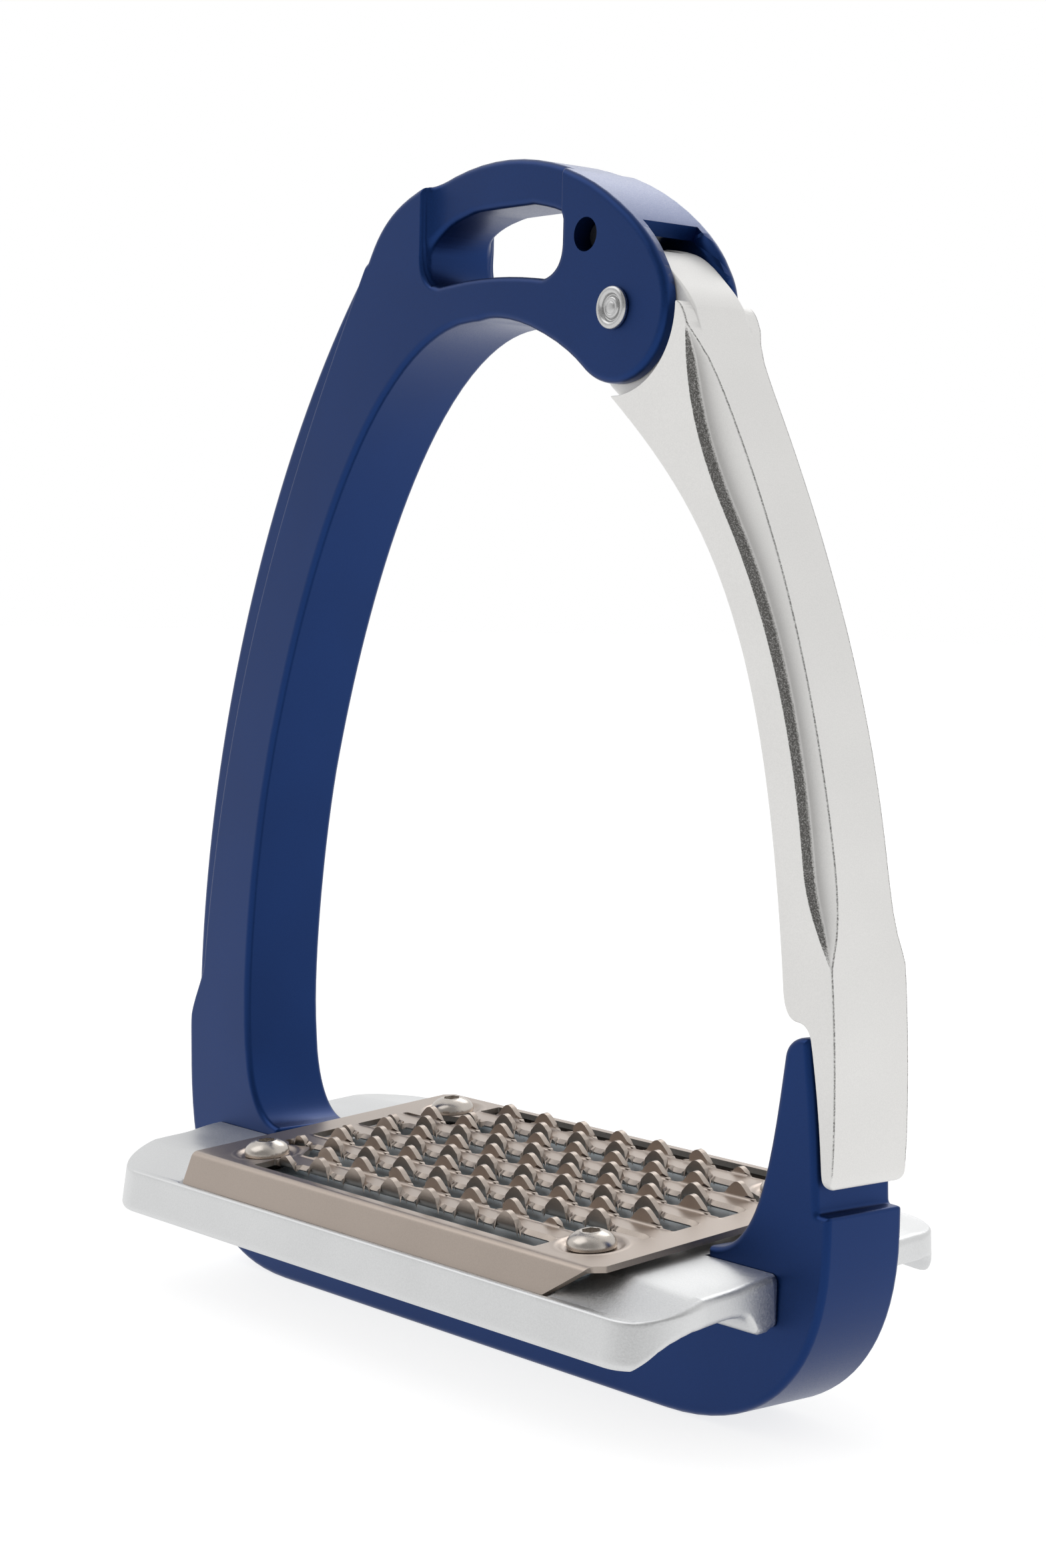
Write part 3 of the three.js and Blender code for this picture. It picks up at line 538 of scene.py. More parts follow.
navy_surface = grained("navy_coat", NAVY, 0.90, 0.42, 0.22, 0.12, 0.005)
navy_surface.coat(0.5, 1.2, 0.34)
navy_coat = navy_surface.material
arm_surface = grained("arm_silver", ARM_SILVER, 0.30, 0.50, 0.20, 0.05, 0.010)
# Dark speckled cover: painted shade on the scallop's wall, and the dark line along the outer edge.
arm_surface.shade_and_dark_edge("shade_and_dark_edge", (0.10, 0.097, 0.092), 0.22)
arm_silver = arm_surface.material
footbed_silver = grained("footbed_silver", FOOTBED_SILVER, 0.95, 0.42, 0.28, 0.07, 0.016).material
tread_steel = grained("tread_steel", TREAD_BROWN, 0.95, 0.34, 0.22, 0.06, 0.006).material
tread_edge = grained("tread_edge", (0.41, 0.355, 0.312), 0.95, 0.40, 0.3, 0.1, 0.01).material
polished_steel = grained("polished_steel", STEEL, 1.0, 0.27, 0.8, 0.04, 0.0004).material
pin_steel = grained("pin_steel", (0.50, 0.50, 0.50), 1.0, 0.26, 0.3, 0.08, 0.002).material
bronze = grained("bush_bronze", (0.32, 0.19, 0.07), 0.9, 0.42, 0.25, 0.15, 0.01).material
spring_steel = grained("spring_steel", (0.15, 0.16, 0.18), 1.0, 0.32, 0.3, 0.1, 0.004).material
black_oxide = grained("black_oxide", (0.018, 0.018, 0.021), 0.6, 0.5, 0.25, 0.3, 0.006).material
pad_grey = grained("pad_grey", (0.33, 0.40, 0.45), 0.0, 0.32, 0.5, 0.12, 0.01).material


# -------------------------------------------------------- frame

def frame_outline():
    pen = Pen(-46, 0).to((44, 0)).to((60, 0), (73.7, 8), (73.7, 28)).to((73.7, LEDGE_Z))
    pen.to((71.5, LEDGE_Z)).to((71, 44), (69.0, 54.6))
    pen.to((67.7, 54.6)).to((64.9, 54.0), (64.7, 51.4)).to((63.2, 40.5), (61.6, 31.2), (57.9, 27.2))
    pen.to((55.4, SHOULDER_Z), (SEAT_RIGHT, SHOULDER_Z))
    pen.to((SEAT_RIGHT, SEAT_Z)).to((SEAT_LEFT, SEAT_Z)).to((SEAT_LEFT, SHOULDER_Z))
    pen.to((-53, SHOULDER_Z), (-56.6, 29), (-57.1, 38)).to((-58.5, 48), (-56, 69.5), (-52.7, 82.5))
    pen.to((-43.5, 117.5), (-25.5, 152), (-2.2, 150.9))
    pen.to((4, 152.5), (16, 147.8), polar(PIN, CHEEK_RADIUS, -128))
    pen.arc(PIN, CHEEK_RADIUS, -128, 35)
    pen.to((33.5, 162.5), (25, 168.5), (16.2, 171.5)).to((9, 173.8), (-1, 176.2), (-14, 172.2))
    pen.to((-22, 170), (-26, 167.5), (-29.2, 161.2)).to((-31.8, 161.2))
    pen.to((-61.5, 127), (-76.5, 73), (-74.1, 33)).to((-73.6, 12), (-66, 0), (-46, 0))
    return softened(pen.points(), 0.7)


def slot_outline():
    pen = Pen(SLOT_LEFT, SLOT_FLOOR + SLOT_CORNER)
    pen.to((SLOT_LEFT, SLOT_FLOOR), (SLOT_LEFT + SLOT_CORNER, SLOT_FLOOR - 0.4))
    pen.to((0, SLOT_FLOOR + 1), (SLOT_RIGHT - SLOT_CORNER, SLOT_FLOOR - 0.8))
    pen.to((SLOT_RIGHT, SLOT_FLOOR), (SLOT_RIGHT, SLOT_FLOOR + SLOT_CORNER))
    pen.to((SLOT_RIGHT, 164.6)).to((12, 166.6), (7, BAR_UNDERSIDE)).to((-5, BAR_UNDERSIDE))
    pen.to((-11.5, 166.4), (-15.6, 164.6), (SLOT_LEFT, SLOT_FLOOR + SLOT_CORNER))
    return softened(pen.points(), 0.5)[::-1]


def bar_region():
    """Where both faces are set back to leave the leather bar, open at the top."""
    left = SLOT_LEFT - 0.4
    pen = Pen(SLOT_RIGHT, SLOT_FLOOR + SLOT_CORNER).to((SLOT_RIGHT, 184)).to((left, 184))
    pen.to((left, 161.5)).to((left, 158.2), (-13.2, 156.8)).to((-8, 160)).to(pen.points()[0])
    return anticlockwise(thinned(evenly(pen.points(), 0.4)))


def fixed_arm_scallop():
    pen = Pen(-29.4, 161.0).to((-45.5, 134), (-64.8, 100), (-70.2, 48.5))
    pen.to((-71.2, 44.5), (-73.9, 42), (-74.4, 36.5)).to((-84, 36.5)).to((-84, 120)).to((-45, 178))
    pen.to((-29.4, 161.0))
    return softened(pen.points(), 0.5)


def clevis_slot():
    pen = Pen(*polar(PIN, CHEEK_RADIUS, 78)).to((31.2, 163.2)).to((37.2, 171.2)).to((60, 160))
    pen.to((45, 120)).to((23, 136)).to(polar(PIN, CHEEK_RADIUS, -150)).arc(PIN, CHEEK_RADIUS, 210, 78)
    return evenly(pen.points(), 0.35)


def base_screw_seat(x):
    bore = FOOTBED_SCREW_BORE
    sink = FOOTBED_SCREW_SINK
    top = SEAT_Z + 2
    vertices, faces = turned([(0, -1), (sink, -1), (sink, 1.0), (bore, 3.5), (bore, top), (0, top)], 48)
    return vertices + np.array([x, 0, 0]), faces


def make_frame():
    body = frame_outline()
    slot = slot_outline()
    scallop = fixed_arm_scallop()
    bar = bar_region()
    edge_radius = 0.9
    cove = (0.4, 1.35, 0.2, 2.2)
    sharp_step = (0.2, 0.35, 0.12, 1.0)
    relief = Relief(
        [body, slot],
        round_rings(edge_radius),
        [(scallop, step_rings(0.3, 0.9)), (bar, step_rings(*cove)), (bar, step_rings(*sharp_step))],
    )
    sunk = step_down(signed_distance(relief.plan, scallop), SCALLOP_DEPTH, 0.3, 0.9)
    from_bar = signed_distance(relief.plan, bar)
    steps = [step_down(from_bar, FRAME_HALF - BAR_HALF, *shape) for shape in (cove, sharp_step)]
    sunk = np.maximum(sunk, np.where(relief.plan[:, 0] < 0, *steps))
    height = FRAME_HALF - sunk - rounding(relief.edge, edge_radius)
    vertices, faces = relief.solid(-height, height, upright)
    piece = add_piece("stirrup_frame", vertices, faces, [navy_coat])
    holes = [prism(clevis_slot(), -CLEVIS_HALF, CLEVIS_HALF)]
    holes.append(prism(circle(PIN, PIN_BORE), -THROUGH, THROUGH))
    holes.append(prism(circle(ANCHOR, ANCHOR_HOLE_RADIUS), -THROUGH, THROUGH))
    holes.extend(base_screw_seat(side * FOOTBED_SCREW_X) for side in (-1, 1))
    cut(piece, holes)
    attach(piece, "stirrup")
    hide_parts("frame")
    return piece


make_frame()


# -------------------------------------------------- release arm

ARM_CORNER = [(40.3, 151.4), (41.6, 150.8), (42.4, 148.3), (43.4, 146.4)]
ARM_SWEEP = [(61.2, 117), (74.0, 85), (74.1, 41.6)]
ARM_EDGE = 0.22
ARM_STEP = (0.1, 0.28, 0.12)     # crest, foot and lean of the scallop's wall
ARM_END = 35.3                   # lower end of the arm, with its front and rear corners rounded
ARM_END_ROUND = 1.3
ARM_FULL_DEPTH = 1.6             # the scallop's wall has its full crest and foot from this depth
TONGUE_EDGE = 0.35
BUSH_RADIUS = 3.6
SPRING_POCKET_RADIUS = 6.6
SPRING_POCKET_HALF = 2.1


def along_arm_edge(pen):
    """The arm's outer side, from the shoulder corner down to its lower end."""
    start, bend, end, foot = ARM_CORNER
    return pen.to(start).to(bend, end).to(foot).to(*ARM_SWEEP)


def arm_outline():
    pen = along_arm_edge(Pen(*polar(PIN, SHOULDER_RADIUS, 2)))
    pen.to((74.0, 38.2)).to((74.0, 35.6), (73.4, 35.3))
    pen.to((72.3, 35.0), (72.0, 37.6)).to((71.3, 46), (69.5, 54.4)).to((68.9, 56.4), (67.1, 56.5))
    pen.to((64.4, 56.4), (64.1, 61.5))
    pen.to((59, 107), (49, 121.5), polar(PIN, SHOULDER_RADIUS, -93))
    pen.arc(PIN, SHOULDER_RADIUS, -93, 2)
    return softened(pen.points(), 0.5)


def arm_scallop():
    pen = Pen(42.3, 148.4).to((42.3, 138), (46.3, 129.5), (52.0, 120.8))
    pen.to((60.5, 107), (65, 92.5), (67.2, 77.2)).to((67.9, 72.3), (69.6, 69.3), (72.7, 64.0))
    pen.to((76, 60)).to((84, 70)).to((64, 148.4)).to((42.3, 148.4))
    return softened(pen.points(), 0.3)


def arm_scallop_depth(z):
    """The scallop runs out to nothing at both of its ends."""
    level = [64.1, 65.4, 67.0, 69.0, 72.0, 76.0, 90.0, 104, 115, 128, 136, 140, 143, 145, 146.6, 148]
    depth = [0.06, 0.40, 0.95, 1.50, 1.85, 2.0, 2.0, 2.15, 2.3, 2.25, 2.15, 2.05, 1.8, 1.4, 0.7, 0.06]
    return np.interp(z, level, depth)


def tongue_outline():
    pen = Pen(*polar(PIN, TONGUE_RADIUS, 70)).to((33.9, 158.7), (37.9, 154.75))
    pen.to((40.2, 152.9), (41.65, 150.7)).to((42.35, 149.1), (43.2, 146.7))
    pen.to((41, 142)).to((33, 136.4)).to((27.2, 138.9)).to(polar(PIN, TONGUE_RADIUS + 2.2, -105))
    pen.to(polar(PIN, TONGUE_RADIUS, -150)).arc(PIN, TONGUE_RADIUS, -150, -290)
    return softened(pen.points(), 0.5)


def spring_leg_gap():
    pen = Pen(*polar(PIN, 5, 66)).to(polar(PIN, 14, 62)).to(polar(PIN, 16, 100))
    pen.to(polar(PIN, 14, 148)).to(polar(PIN, 5, 144)).to(polar(PIN, 5, 66))
    return evenly(pen.points(), 1.0)


def rounded_slab(outline, half, radius):
    relief = Relief([outline], round_rings(radius, 3))
    height = half - rounding(relief.edge, radius)
    return relief.solid(-height, height, upright)


def arm_height(plan, edge, signed):
    """Half thickness of the arm, and the painted shade on the scallop's wall at each point."""
    crest, foot, lean = ARM_STEP
    depth = arm_scallop_depth(plan[:, 1])
    share = np.minimum(1, depth / ARM_FULL_DEPTH)
    sunk = step_down(signed, depth, crest * share, foot * share, lean)
    # Painted shade on the scallop's wall: full at the crest, fading out where the wall meets its foot, and
    # stronger where the scallop is deeper.
    wall_shade = np.interp(signed, [-0.1, -0.02, 0.85 * lean, lean, lean + 0.1], [0, 1, 0.9, 0.4, 0])
    end = rounding(np.maximum(plan[:, 1] - ARM_END, 0), ARM_END_ROUND)
    shade_by_depth = np.minimum(1, 2 * depth / ARM_FULL_DEPTH)
    return ARM_HALF - sunk - rounding(edge, ARM_EDGE) - end, wall_shade * shade_by_depth


def mark_shade_and_dark_edge(piece, body, scallop):
    """Writes the painted shade on the scallop's wall and the dark line along the outer edge."""
    count = len(piece.data.vertices)
    flat = np.empty(count * 3)
    piece.data.vertices.foreach_get("co", flat)
    place = flat.reshape(-1, 3) / MM
    plan = place[:, [0, 2]]
    edge = distance_to(plan, body)
    height, wall_shade = arm_height(plan, edge, signed_distance(plan, scallop))
    outer = along_arm_edge(Pen(*ARM_CORNER[0])).to((74.0, 37.0)).points()
    line = 1 - smoothstep(distance_to(plan, outer, closed=False), 0.03, 0.13)
    on_face = np.abs(np.abs(place[:, 1]) - height) < 0.03
    # Painted shade on the scallop's wall, or the dark line along the outer edge, whichever is stronger, on
    # the faces only.
    values = np.where(on_face, np.maximum(wall_shade, 0.65 * line), 0)
    layer = piece.data.attributes.new("shade_and_dark_edge", "FLOAT", "POINT")
    layer.data.foreach_set("value", values.astype(np.float32))


def make_release_arm():
    body = arm_outline()
    scallop = arm_scallop()
    walls = step_rings(*ARM_STEP) + [0.5 * ARM_STEP[2], 0.85 * ARM_STEP[2]]
    rises = round_rings(ARM_END_ROUND, 7)[1:]
    end_lines = [np.array([(71.5, ARM_END + rise), (75, ARM_END + rise)]) for rise in rises]
    relief = Relief([body], round_rings(ARM_EDGE, 4), [(scallop, walls)], end_lines)
    height, _ = arm_height(relief.plan, relief.edge, signed_distance(relief.plan, scallop))
    vertices, faces = relief.solid(-height, height, upright, row=0.08)
    piece = add_piece("silver_arm", vertices, faces, [arm_silver])
    change(piece, [rounded_slab(tongue_outline(), TONGUE_HALF, TONGUE_EDGE)], "UNION", 34)
    cut(piece, [
        prism(circle(PIN, BUSH_RADIUS), -THROUGH, THROUGH),
        prism(circle(PIN, SPRING_POCKET_RADIUS), -SPRING_POCKET_HALF, SPRING_POCKET_HALF),
        prism(spring_leg_gap(), -SPRING_POCKET_HALF, SPRING_POCKET_HALF),
    ])
    mark_shade_and_dark_edge(piece, body, scallop)
    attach(piece, "arm")
    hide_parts("release_arm")


make_release_arm()


# ------------------------------------------------------ footbed

def rounded_rectangle(half_a, half_b, radius):
    pen = Pen(half_a - radius, -half_b)
    for quarter, (a, b) in enumerate([(1, -1), (1, 1), (-1, 1), (-1, -1)]):
        centre = (a * (half_a - radius), b * (half_b - radius))
        pen.arc(centre, radius, 90 * quarter - 90, 90 * quarter)
    return thinned(evenly(pen.points(), 0.25))


FOOTBED_LENGTH = 130.2
FOOTBED_DEPTH = 59.2
FOOTBED_CORNER = 9.2
FOOT_ROUND = 1.1                 # radius round the underside
FOOTBED_FIT = 0.15               # gap to the frame
RECESS = (42.3, 24.6, 3.3)       # half length, half depth and corner of the pad's recess
RECESS_FLOOR = -4.5
PAD = (42.0, 24.3, 3.0)
PAD_BOTTOM = -4.2
PAD_TOP = -2.2
PAD_ROUND = 0.4
THREAD_BORE = 2.3
PAD_BORE = 2.6
PLATE_BORE = 2.4
RIDGE_LEVEL = -4.45              # crest of the front rim, below the tread
REAR_RIDGE_LEVEL = -2.9
RIM_FOOT = -11.2
UNDER_LIP_LEVEL = -5.15
END_ROUND = 1.1                  # radius along the top of the ends beside the frame
RIDGE_ROUND = 0.4
RIM_LEAN = 1.6                   # how far the front rim leans out below its crest
REAR_CORNER_SET_BACK = 1.6       # how far the two rear corners are drawn in


def footbed_underside(v):
    """Level of the casting's underside across its depth: rib, hollow, thick front rim."""
    across = [0, 8.6, 9.4, 10.8, 11.5, 12.0, 12.8, 13.9, 16.0]
    level = [-9.0, -9.0, -9.4, -9.4, -9.0, -8.0, -6.9, -6.4, -6.1]
    across += [18.2, 20.4, 22.5, 23.9, 25.2, 26.3, 27.2, 28.1, 32]
    level += [-6.1, -6.2, -6.4, -6.9, -7.6, -8.6, -9.8, -10.9, RIM_FOOT]
    return np.interp(np.abs(v), across, level) + 0.9 * smoothstep(v, 20, 27)


def footbed_roof(u, v):
    """Level of the top: flat, falling to both rims, and lower under the plate's lips."""
    middle = -1.85 - 0.45 * smoothstep(np.abs(u), 50, 62.5) * smoothstep(np.abs(v), 8.5, 15)
    crest = np.where(v < 0, RIDGE_LEVEL, REAR_RIDGE_LEVEL)
    fall = 0.7 * np.clip((np.abs(v) - 20.3) / 8.2, 0, 1) + 0.3 * smoothstep(np.abs(v), 19.5, 28.5)
    top = middle + (crest - middle) * fall
    along = np.abs(u - TREAD_X)
    full_height_end = (u - TREAD_X) * v > 0
    reach = np.where(full_height_end, 47.9, 40.7)
    ease = np.where(full_height_end, 0.5, 2.0)
    under_lip = smoothstep(reach - along, 0, ease) * smoothstep(np.abs(v), 24.0, 24.8)
    top += (np.minimum(top, UNDER_LIP_LEVEL) - top) * under_lip
    return top + (crest - top) * smoothstep(np.abs(v), 28.4, 28.9)


def leaning_rim(a, b, height):
    """Laid on the tread: the front rim leans out below its crest, the rear corners are drawn in."""
    below = np.clip((RIDGE_LEVEL - height) / (RIDGE_LEVEL - RIM_FOOT), 0, 1)
    lean = RIM_LEAN * below * smoothstep(-b, 21, 29.3)
    set_back = REAR_CORNER_SET_BACK * smoothstep(b, 16, 29.3) * smoothstep(np.abs(a), 47, 62)
    return on_tread(a, b - lean - set_back, height)


def spans(values, reach):
    """Straight lines across the plan at each value, along X."""
    return [np.array([[-reach, s * value], [reach, s * value]]) for value in values for s in (-1, 1)]


def make_footbed():
    outline = rounded_rectangle(FOOTBED_LENGTH / 2, FOOTBED_DEPTH / 2, FOOTBED_CORNER)
    rows = [7.5, 8.6, 9.4, 10.1, 10.8, 11.15, 11.5, 11.75, 12.0, 12.4, 12.8, 13.3, 13.9, 14.9, 16.0, 18.2]
    rows += [20.4, 21.5, 22.5, 23.2, 23.9, 24.4, 24.8, 25.2, 25.8, 26.3, 26.8, 27.2, 27.7, 28.1, 28.4]
    rows += [28.52, 28.65, 28.78, 28.9]
    columns = [35.9, 36.9, 37.9, 41.5, 42.5, 43.5, 44.6, 45.1, 50.2, 50.7, 52, 54, 56, 58, 60, 61.5, 62.5]
    lines = spans(rows, 70)
    lines += [line[:, ::-1] for line in spans(columns, 40)]
    rings = sorted({*round_rings(END_ROUND, 6), *round_rings(RIDGE_ROUND, 3)[:-1], 1.9})
    relief = Relief([outline], rings, lines=lines)
    u = relief.plan[:, 0]
    v = relief.plan[:, 1]
    low = footbed_underside(v) + rounding(relief.edge, FOOT_ROUND)
    radius = END_ROUND + (RIDGE_ROUND - END_ROUND) * smoothstep(np.abs(v), 20, 27)
    top = footbed_roof(u, v) - rounding(relief.edge, radius)
    vertices, faces = relief.solid(low, top, leaning_rim, row=0.4)
    piece = add_piece("cast_footbed", vertices, faces, [footbed_silver], sharp=50)
    notch = FRAME_HALF + FOOTBED_FIT
    blocks = []
    for near, far in ((SEAT_RIGHT - 0.2, 90), (-90, SEAT_LEFT + 0.2)):
        plan = np.array([(near, -40), (far, -40), (far, 80), (near, 80)], float)
        blocks.append(prism(plan, -notch, notch))
    seat = np.array([(-60, 0), (60, 0), (60, SEAT_Z + 0.3), (-60, SEAT_Z + 0.3)], float)
    blocks.append(prism(seat, -notch, notch))
    recess = rounded_rectangle(*RECESS) + np.array([TREAD_X, 0])
    blocks.append(prism(recess, RECESS_FLOOR, 12, on_tread))
    for x, y in screw_places():
        blocks.append(prism(circle((TREAD_X + x, y), THREAD_BORE, 24), -8.4, 0, on_tread))
    blocks.extend(footbed_screw_bore(side * FOOTBED_SCREW_X) for side in (-1, 1))
    cut(piece, blocks, 50)
    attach(piece, "stirrup")
    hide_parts("footbed")


def footbed_screw_bore(x):
    bore = FOOTBED_SCREW_BORE
    top = 19.0
    vertices, faces = turned([(0, 0), (bore, 0), (bore, top), (0, top)], 32)
    return vertices + np.array([x, 0, 0]), faces


def screw_places():
    return [(x, y) for y in (-SCREW_Y, SCREW_Y) for x in (-SCREW_X, SCREW_X)]


def make_pad():
    outline = rounded_rectangle(*PAD)
    holes = [circle(place, PAD_BORE, 28)[::-1] for place in screw_places()]
    relief = Relief([outline, *holes], round_rings(PAD_ROUND, 3))
    drop = rounding(relief.edge, PAD_ROUND)
    vertices, faces = relief.solid(PAD_BOTTOM + drop, PAD_TOP - drop, on_plate)
    piece = add_piece("grey_pad", vertices, faces, [pad_grey])
    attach(piece, "stirrup")
    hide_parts("cushion_pad")


# -------------------------------------------------- tread plate

TOOTH_BEND = 1.0                 # radius of the sheet's middle where a tooth turns up
TOOTH_TOP = 2.35                 # tips above the plate
VALLEY = 0.9                     # sheet left past the bend line between teeth
TOOTH_HALF_WIDTH = 4.2
LIP_BEND = 0.8
LIP_TURN = math.radians(64)
LIP_START = 25.3                 # where the lips start to fold, from the middle
LIP_STRAIGHT = 4.4
LIP_CUT = 8.5
CORNER_CUT = 1.6
SLOT_END = 1.6                   # how far a strip's folded edge runs past its last tooth
SLOT_BORDER = 24.4               # outer side of the first and last slots
THIN_SLOT = 1.0                  # slot between strips of unequal length, past the shorter one
DISH_DEPTH = 0.5                 # pressed hollow round each screw, with a low rim
DISH_FLOOR_RADIUS = 3.8
DISH_RADIUS = 4.9
DISH_RIM = (5.2, 0.4, 0.08)      # radius, width and height
END_EASE = 1.2


def row_y(row):
    return (row - (ROW_COUNT - 1) / 2) * ROW_PITCH


def row_reach(row):
    return 31.5 if row < 2 or row > ROW_COUNT - 3 else 40.5


def row_teeth(row):
    """Where each tooth of a row stands, with its size; the end ones are smaller."""
    offset = TOOTH_PITCH / 2 if row % 2 == 0 else 0.0
    places = [step * TOOTH_PITCH + offset + TOOTH_SHIFT for step in range(-6, 6)]
    reach = row_reach(row)
    return [(x, 0.66 if abs(x) > reach - TOOTH_PITCH / 2 else 1.0) for x in places if abs(x) < reach]


def row_side(row):
    """Teeth turn up along the front edge of a strip in even rows, the rear edge in odd."""
    return 1 if row % 2 else -1


def bend_line(row):
    return row_y(row) - row_side(row) * TOOTH_BEND


def sheet_past_bend(row, x):
    """Width of flat sheet beyond the bend line before it's folded: valleys and teeth."""
    full = math.pi / 2 * TOOTH_BEND + TOOTH_TOP - (TOOTH_BEND - SHEET / 2)
    width = np.full(np.shape(x), VALLEY)
    for place, size in row_teeth(row):
        across = np.clip(np.abs(x - place) / (TOOTH_HALF_WIDTH * size), 0, 1)
        bell = (0.5 + 0.5 * np.cos(math.pi * across)) ** 1.25
        width = np.maximum(width, VALLEY + (full * (0.2 + 0.8 * size) - VALLEY) * bell * size ** 0.3)
    return width


def slot_hole(index):
    """Opening between two strips, or between a strip and the border, with toothed sides."""
    rows = (2 * index - 1, 2 * index)
    reaches = [row_reach(min(max(row, 0), ROW_COUNT - 1)) + SLOT_END for row in rows]
    reach = max(reaches) if 0 < index < ROW_COUNT // 2 else min(reaches)
    x = np.arange(-reach, reach + 0.01, 0.3)
    front = np.full(x.shape, -SLOT_BORDER)
    back = np.full(x.shape, SLOT_BORDER)
    if index > 0:
        front = bend_line(rows[0]) + sheet_past_bend(rows[0], x)
    if index < ROW_COUNT // 2:
        back = bend_line(rows[1]) - sheet_past_bend(rows[1], x)
    if reaches[0] < reach:
        narrow = smoothstep(np.abs(x), reaches[0] - 1.5, reaches[0] + 2.5)
        front = front + (back - THIN_SLOT - front) * narrow
    if reaches[1] < reach:
        narrow = smoothstep(np.abs(x), reaches[1] - 1.5, reaches[1] + 2.5)
        back = back + (front + THIN_SLOT - back) * narrow
    loop = np.vstack([np.column_stack([x, front]), np.column_stack([x, back])[::-1]])
    return eased_ends(loop)[::-1]


def eased_ends(loop):
    """Rounds the corners of a slot without blunting its teeth."""
    even = evenly(loop, 0.12)
    weights = np.ones(7) / 7
    wrapped = np.vstack([even[-3:], even, even[:3]])
    smooth = np.column_stack([np.convolve(wrapped[:, k], weights, "valid") for k in (0, 1)])
    return anticlockwise(thinned(smooth, math.radians(9), 1.2))


def sheet_outline():
    """The plate before folding, with both lips still flat."""
    half = PLATE_LENGTH / 2
    fold = LIP_START + LIP_BEND * LIP_TURN / 2
    edge = LIP_START + LIP_BEND * LIP_TURN + LIP_STRAIGHT
    side = [(-half, -edge), (half - LIP_CUT, -edge), (half - CORNER_CUT, -fold), (half, -fold + CORNER_CUT)]
    pen = Pen(*side[0])
    for point in side[1:] + [(-a, -b) for a, b in side]:
        pen.to(point)
    return softened(pen.to(side[0]).points(), 0.25)


def fold_sheet(plan, offset):
    """Places points of the flat sheet, offset from its middle, with teeth and lips folded."""
    x = plan[:, 0]
    b = plan[:, 1]
    y = b.copy()
    z = np.full(len(b), -SHEET / 2)
    turn = np.zeros(len(b))          # tilt of the sheet's normal about X
    for row in range(ROW_COUNT):
        side = row_side(row)
        past = side * (b - bend_line(row))
        ends = row_reach(row) + SLOT_END
        mine = (past > 0) & (past <= sheet_past_bend(row, x) + 0.02) & (np.abs(x) < ends)
        share = 1 - smoothstep(np.abs(x), ends - END_EASE, ends)
        angle = np.minimum(past / TOOTH_BEND, math.pi / 2)
        straight = np.maximum(past - TOOTH_BEND * math.pi / 2, 0)
        folded_y = bend_line(row) + side * TOOTH_BEND * np.sin(angle)
        folded_z = -SHEET / 2 + TOOTH_BEND * (1 - np.cos(angle)) + straight
        y = np.where(mine, b + (folded_y - b) * share, y)
        z = np.where(mine, z + (folded_z - z) * share, z)
        turn = np.where(mine, side * angle * share, turn)
    for side in (-1, 1):
        past = side * b - LIP_START
        mine = past > 0
        angle = np.clip(past / LIP_BEND, 0, LIP_TURN)
        straight = np.maximum(past - LIP_BEND * LIP_TURN, 0)
        folded_y = LIP_START + LIP_BEND * np.sin(angle) + straight * math.cos(LIP_TURN)
        folded_z = -SHEET / 2 - LIP_BEND * (1 - np.cos(angle)) - straight * math.sin(LIP_TURN)
        y = np.where(mine, side * folded_y, y)
        z = np.where(mine, folded_z, z)
        turn = np.where(mine, -side * angle, turn)
    for place in screw_places():
        from_screw = np.hypot(x - place[0], b - place[1])
        z -= DISH_DEPTH * (1 - smoothstep(from_screw, DISH_FLOOR_RADIUS, DISH_RADIUS))
        radius, width, height = DISH_RIM
        z += height * np.exp(-((from_screw - radius) / width) ** 2)
    y = y - offset * np.sin(turn)
    z = z + offset * np.cos(turn)
    return np.column_stack(on_plate(x, y, z))


def make_tread_plate():
    outline = sheet_outline()
    slots = [slot_hole(index) for index in range(ROW_COUNT // 2 + 1)]
    bores = [circle(place, PLATE_BORE, 32)[::-1] for place in screw_places()]
    lines = []
    for row in range(ROW_COUNT):
        reach = row_reach(row) + 3
        x = np.linspace(-reach, reach, 90)
        for past in (0.0, 0.35, 0.7, 1.05, 1.35, 1.6, 2.3, 3.0):
            lines.append(np.column_stack([x, np.full(90, bend_line(row) + row_side(row) * past)]))
    folds = [LIP_START + LIP_BEND * LIP_TURN * share for share in (0, 0.2, 0.4, 0.6, 0.8, 1.0)]
    lines += spans(folds, 60)
    dishes = [circle(place, radius, 48) for place in screw_places()
              for radius in (3.6, 3.8, 4.0, 4.25, 4.5, 4.75, 5.0, 5.2, 5.45, 5.8)]
    relief = Relief([outline, *slots, *bores], [0.0], [(ring, [0.0]) for ring in dishes], lines)
    count = len(relief.plan)
    half = np.full(count, SHEET / 2)
    bottom = fold_sheet(relief.plan, -half)
    top = fold_sheet(relief.plan, half)
    border = border_edges(relief.faces)
    faces = relief.faces[:, ::-1].tolist() + (relief.faces + count).tolist()
    zones = [0] * len(faces) + [1] * len(border)
    faces += [(b + count, a + count, a, b) for a, b in border]
    piece = add_piece("toothed_tread", np.vstack([bottom, top]), faces, [tread_steel, tread_edge], zones, 40)
    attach(piece, "stirrup")
    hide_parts("tread_plate")


# ------------------------------------------------------- screws

def hexagon(across, low, high, taper):
    """A six-sided solid that narrows to a point below."""
    profile = [(0, low - taper), (across, low), (across, high), (0, high)]
    return turned(profile, 6)


SCREW_HEAD_RADIUS = 3.5
SCREW_HEAD_HEIGHT = 2.3
SCREW_LIFT = 0.15                # gap under a screw's head
SOCKET_RADIUS = 1.4
SOCKET_FLOOR = 0.9


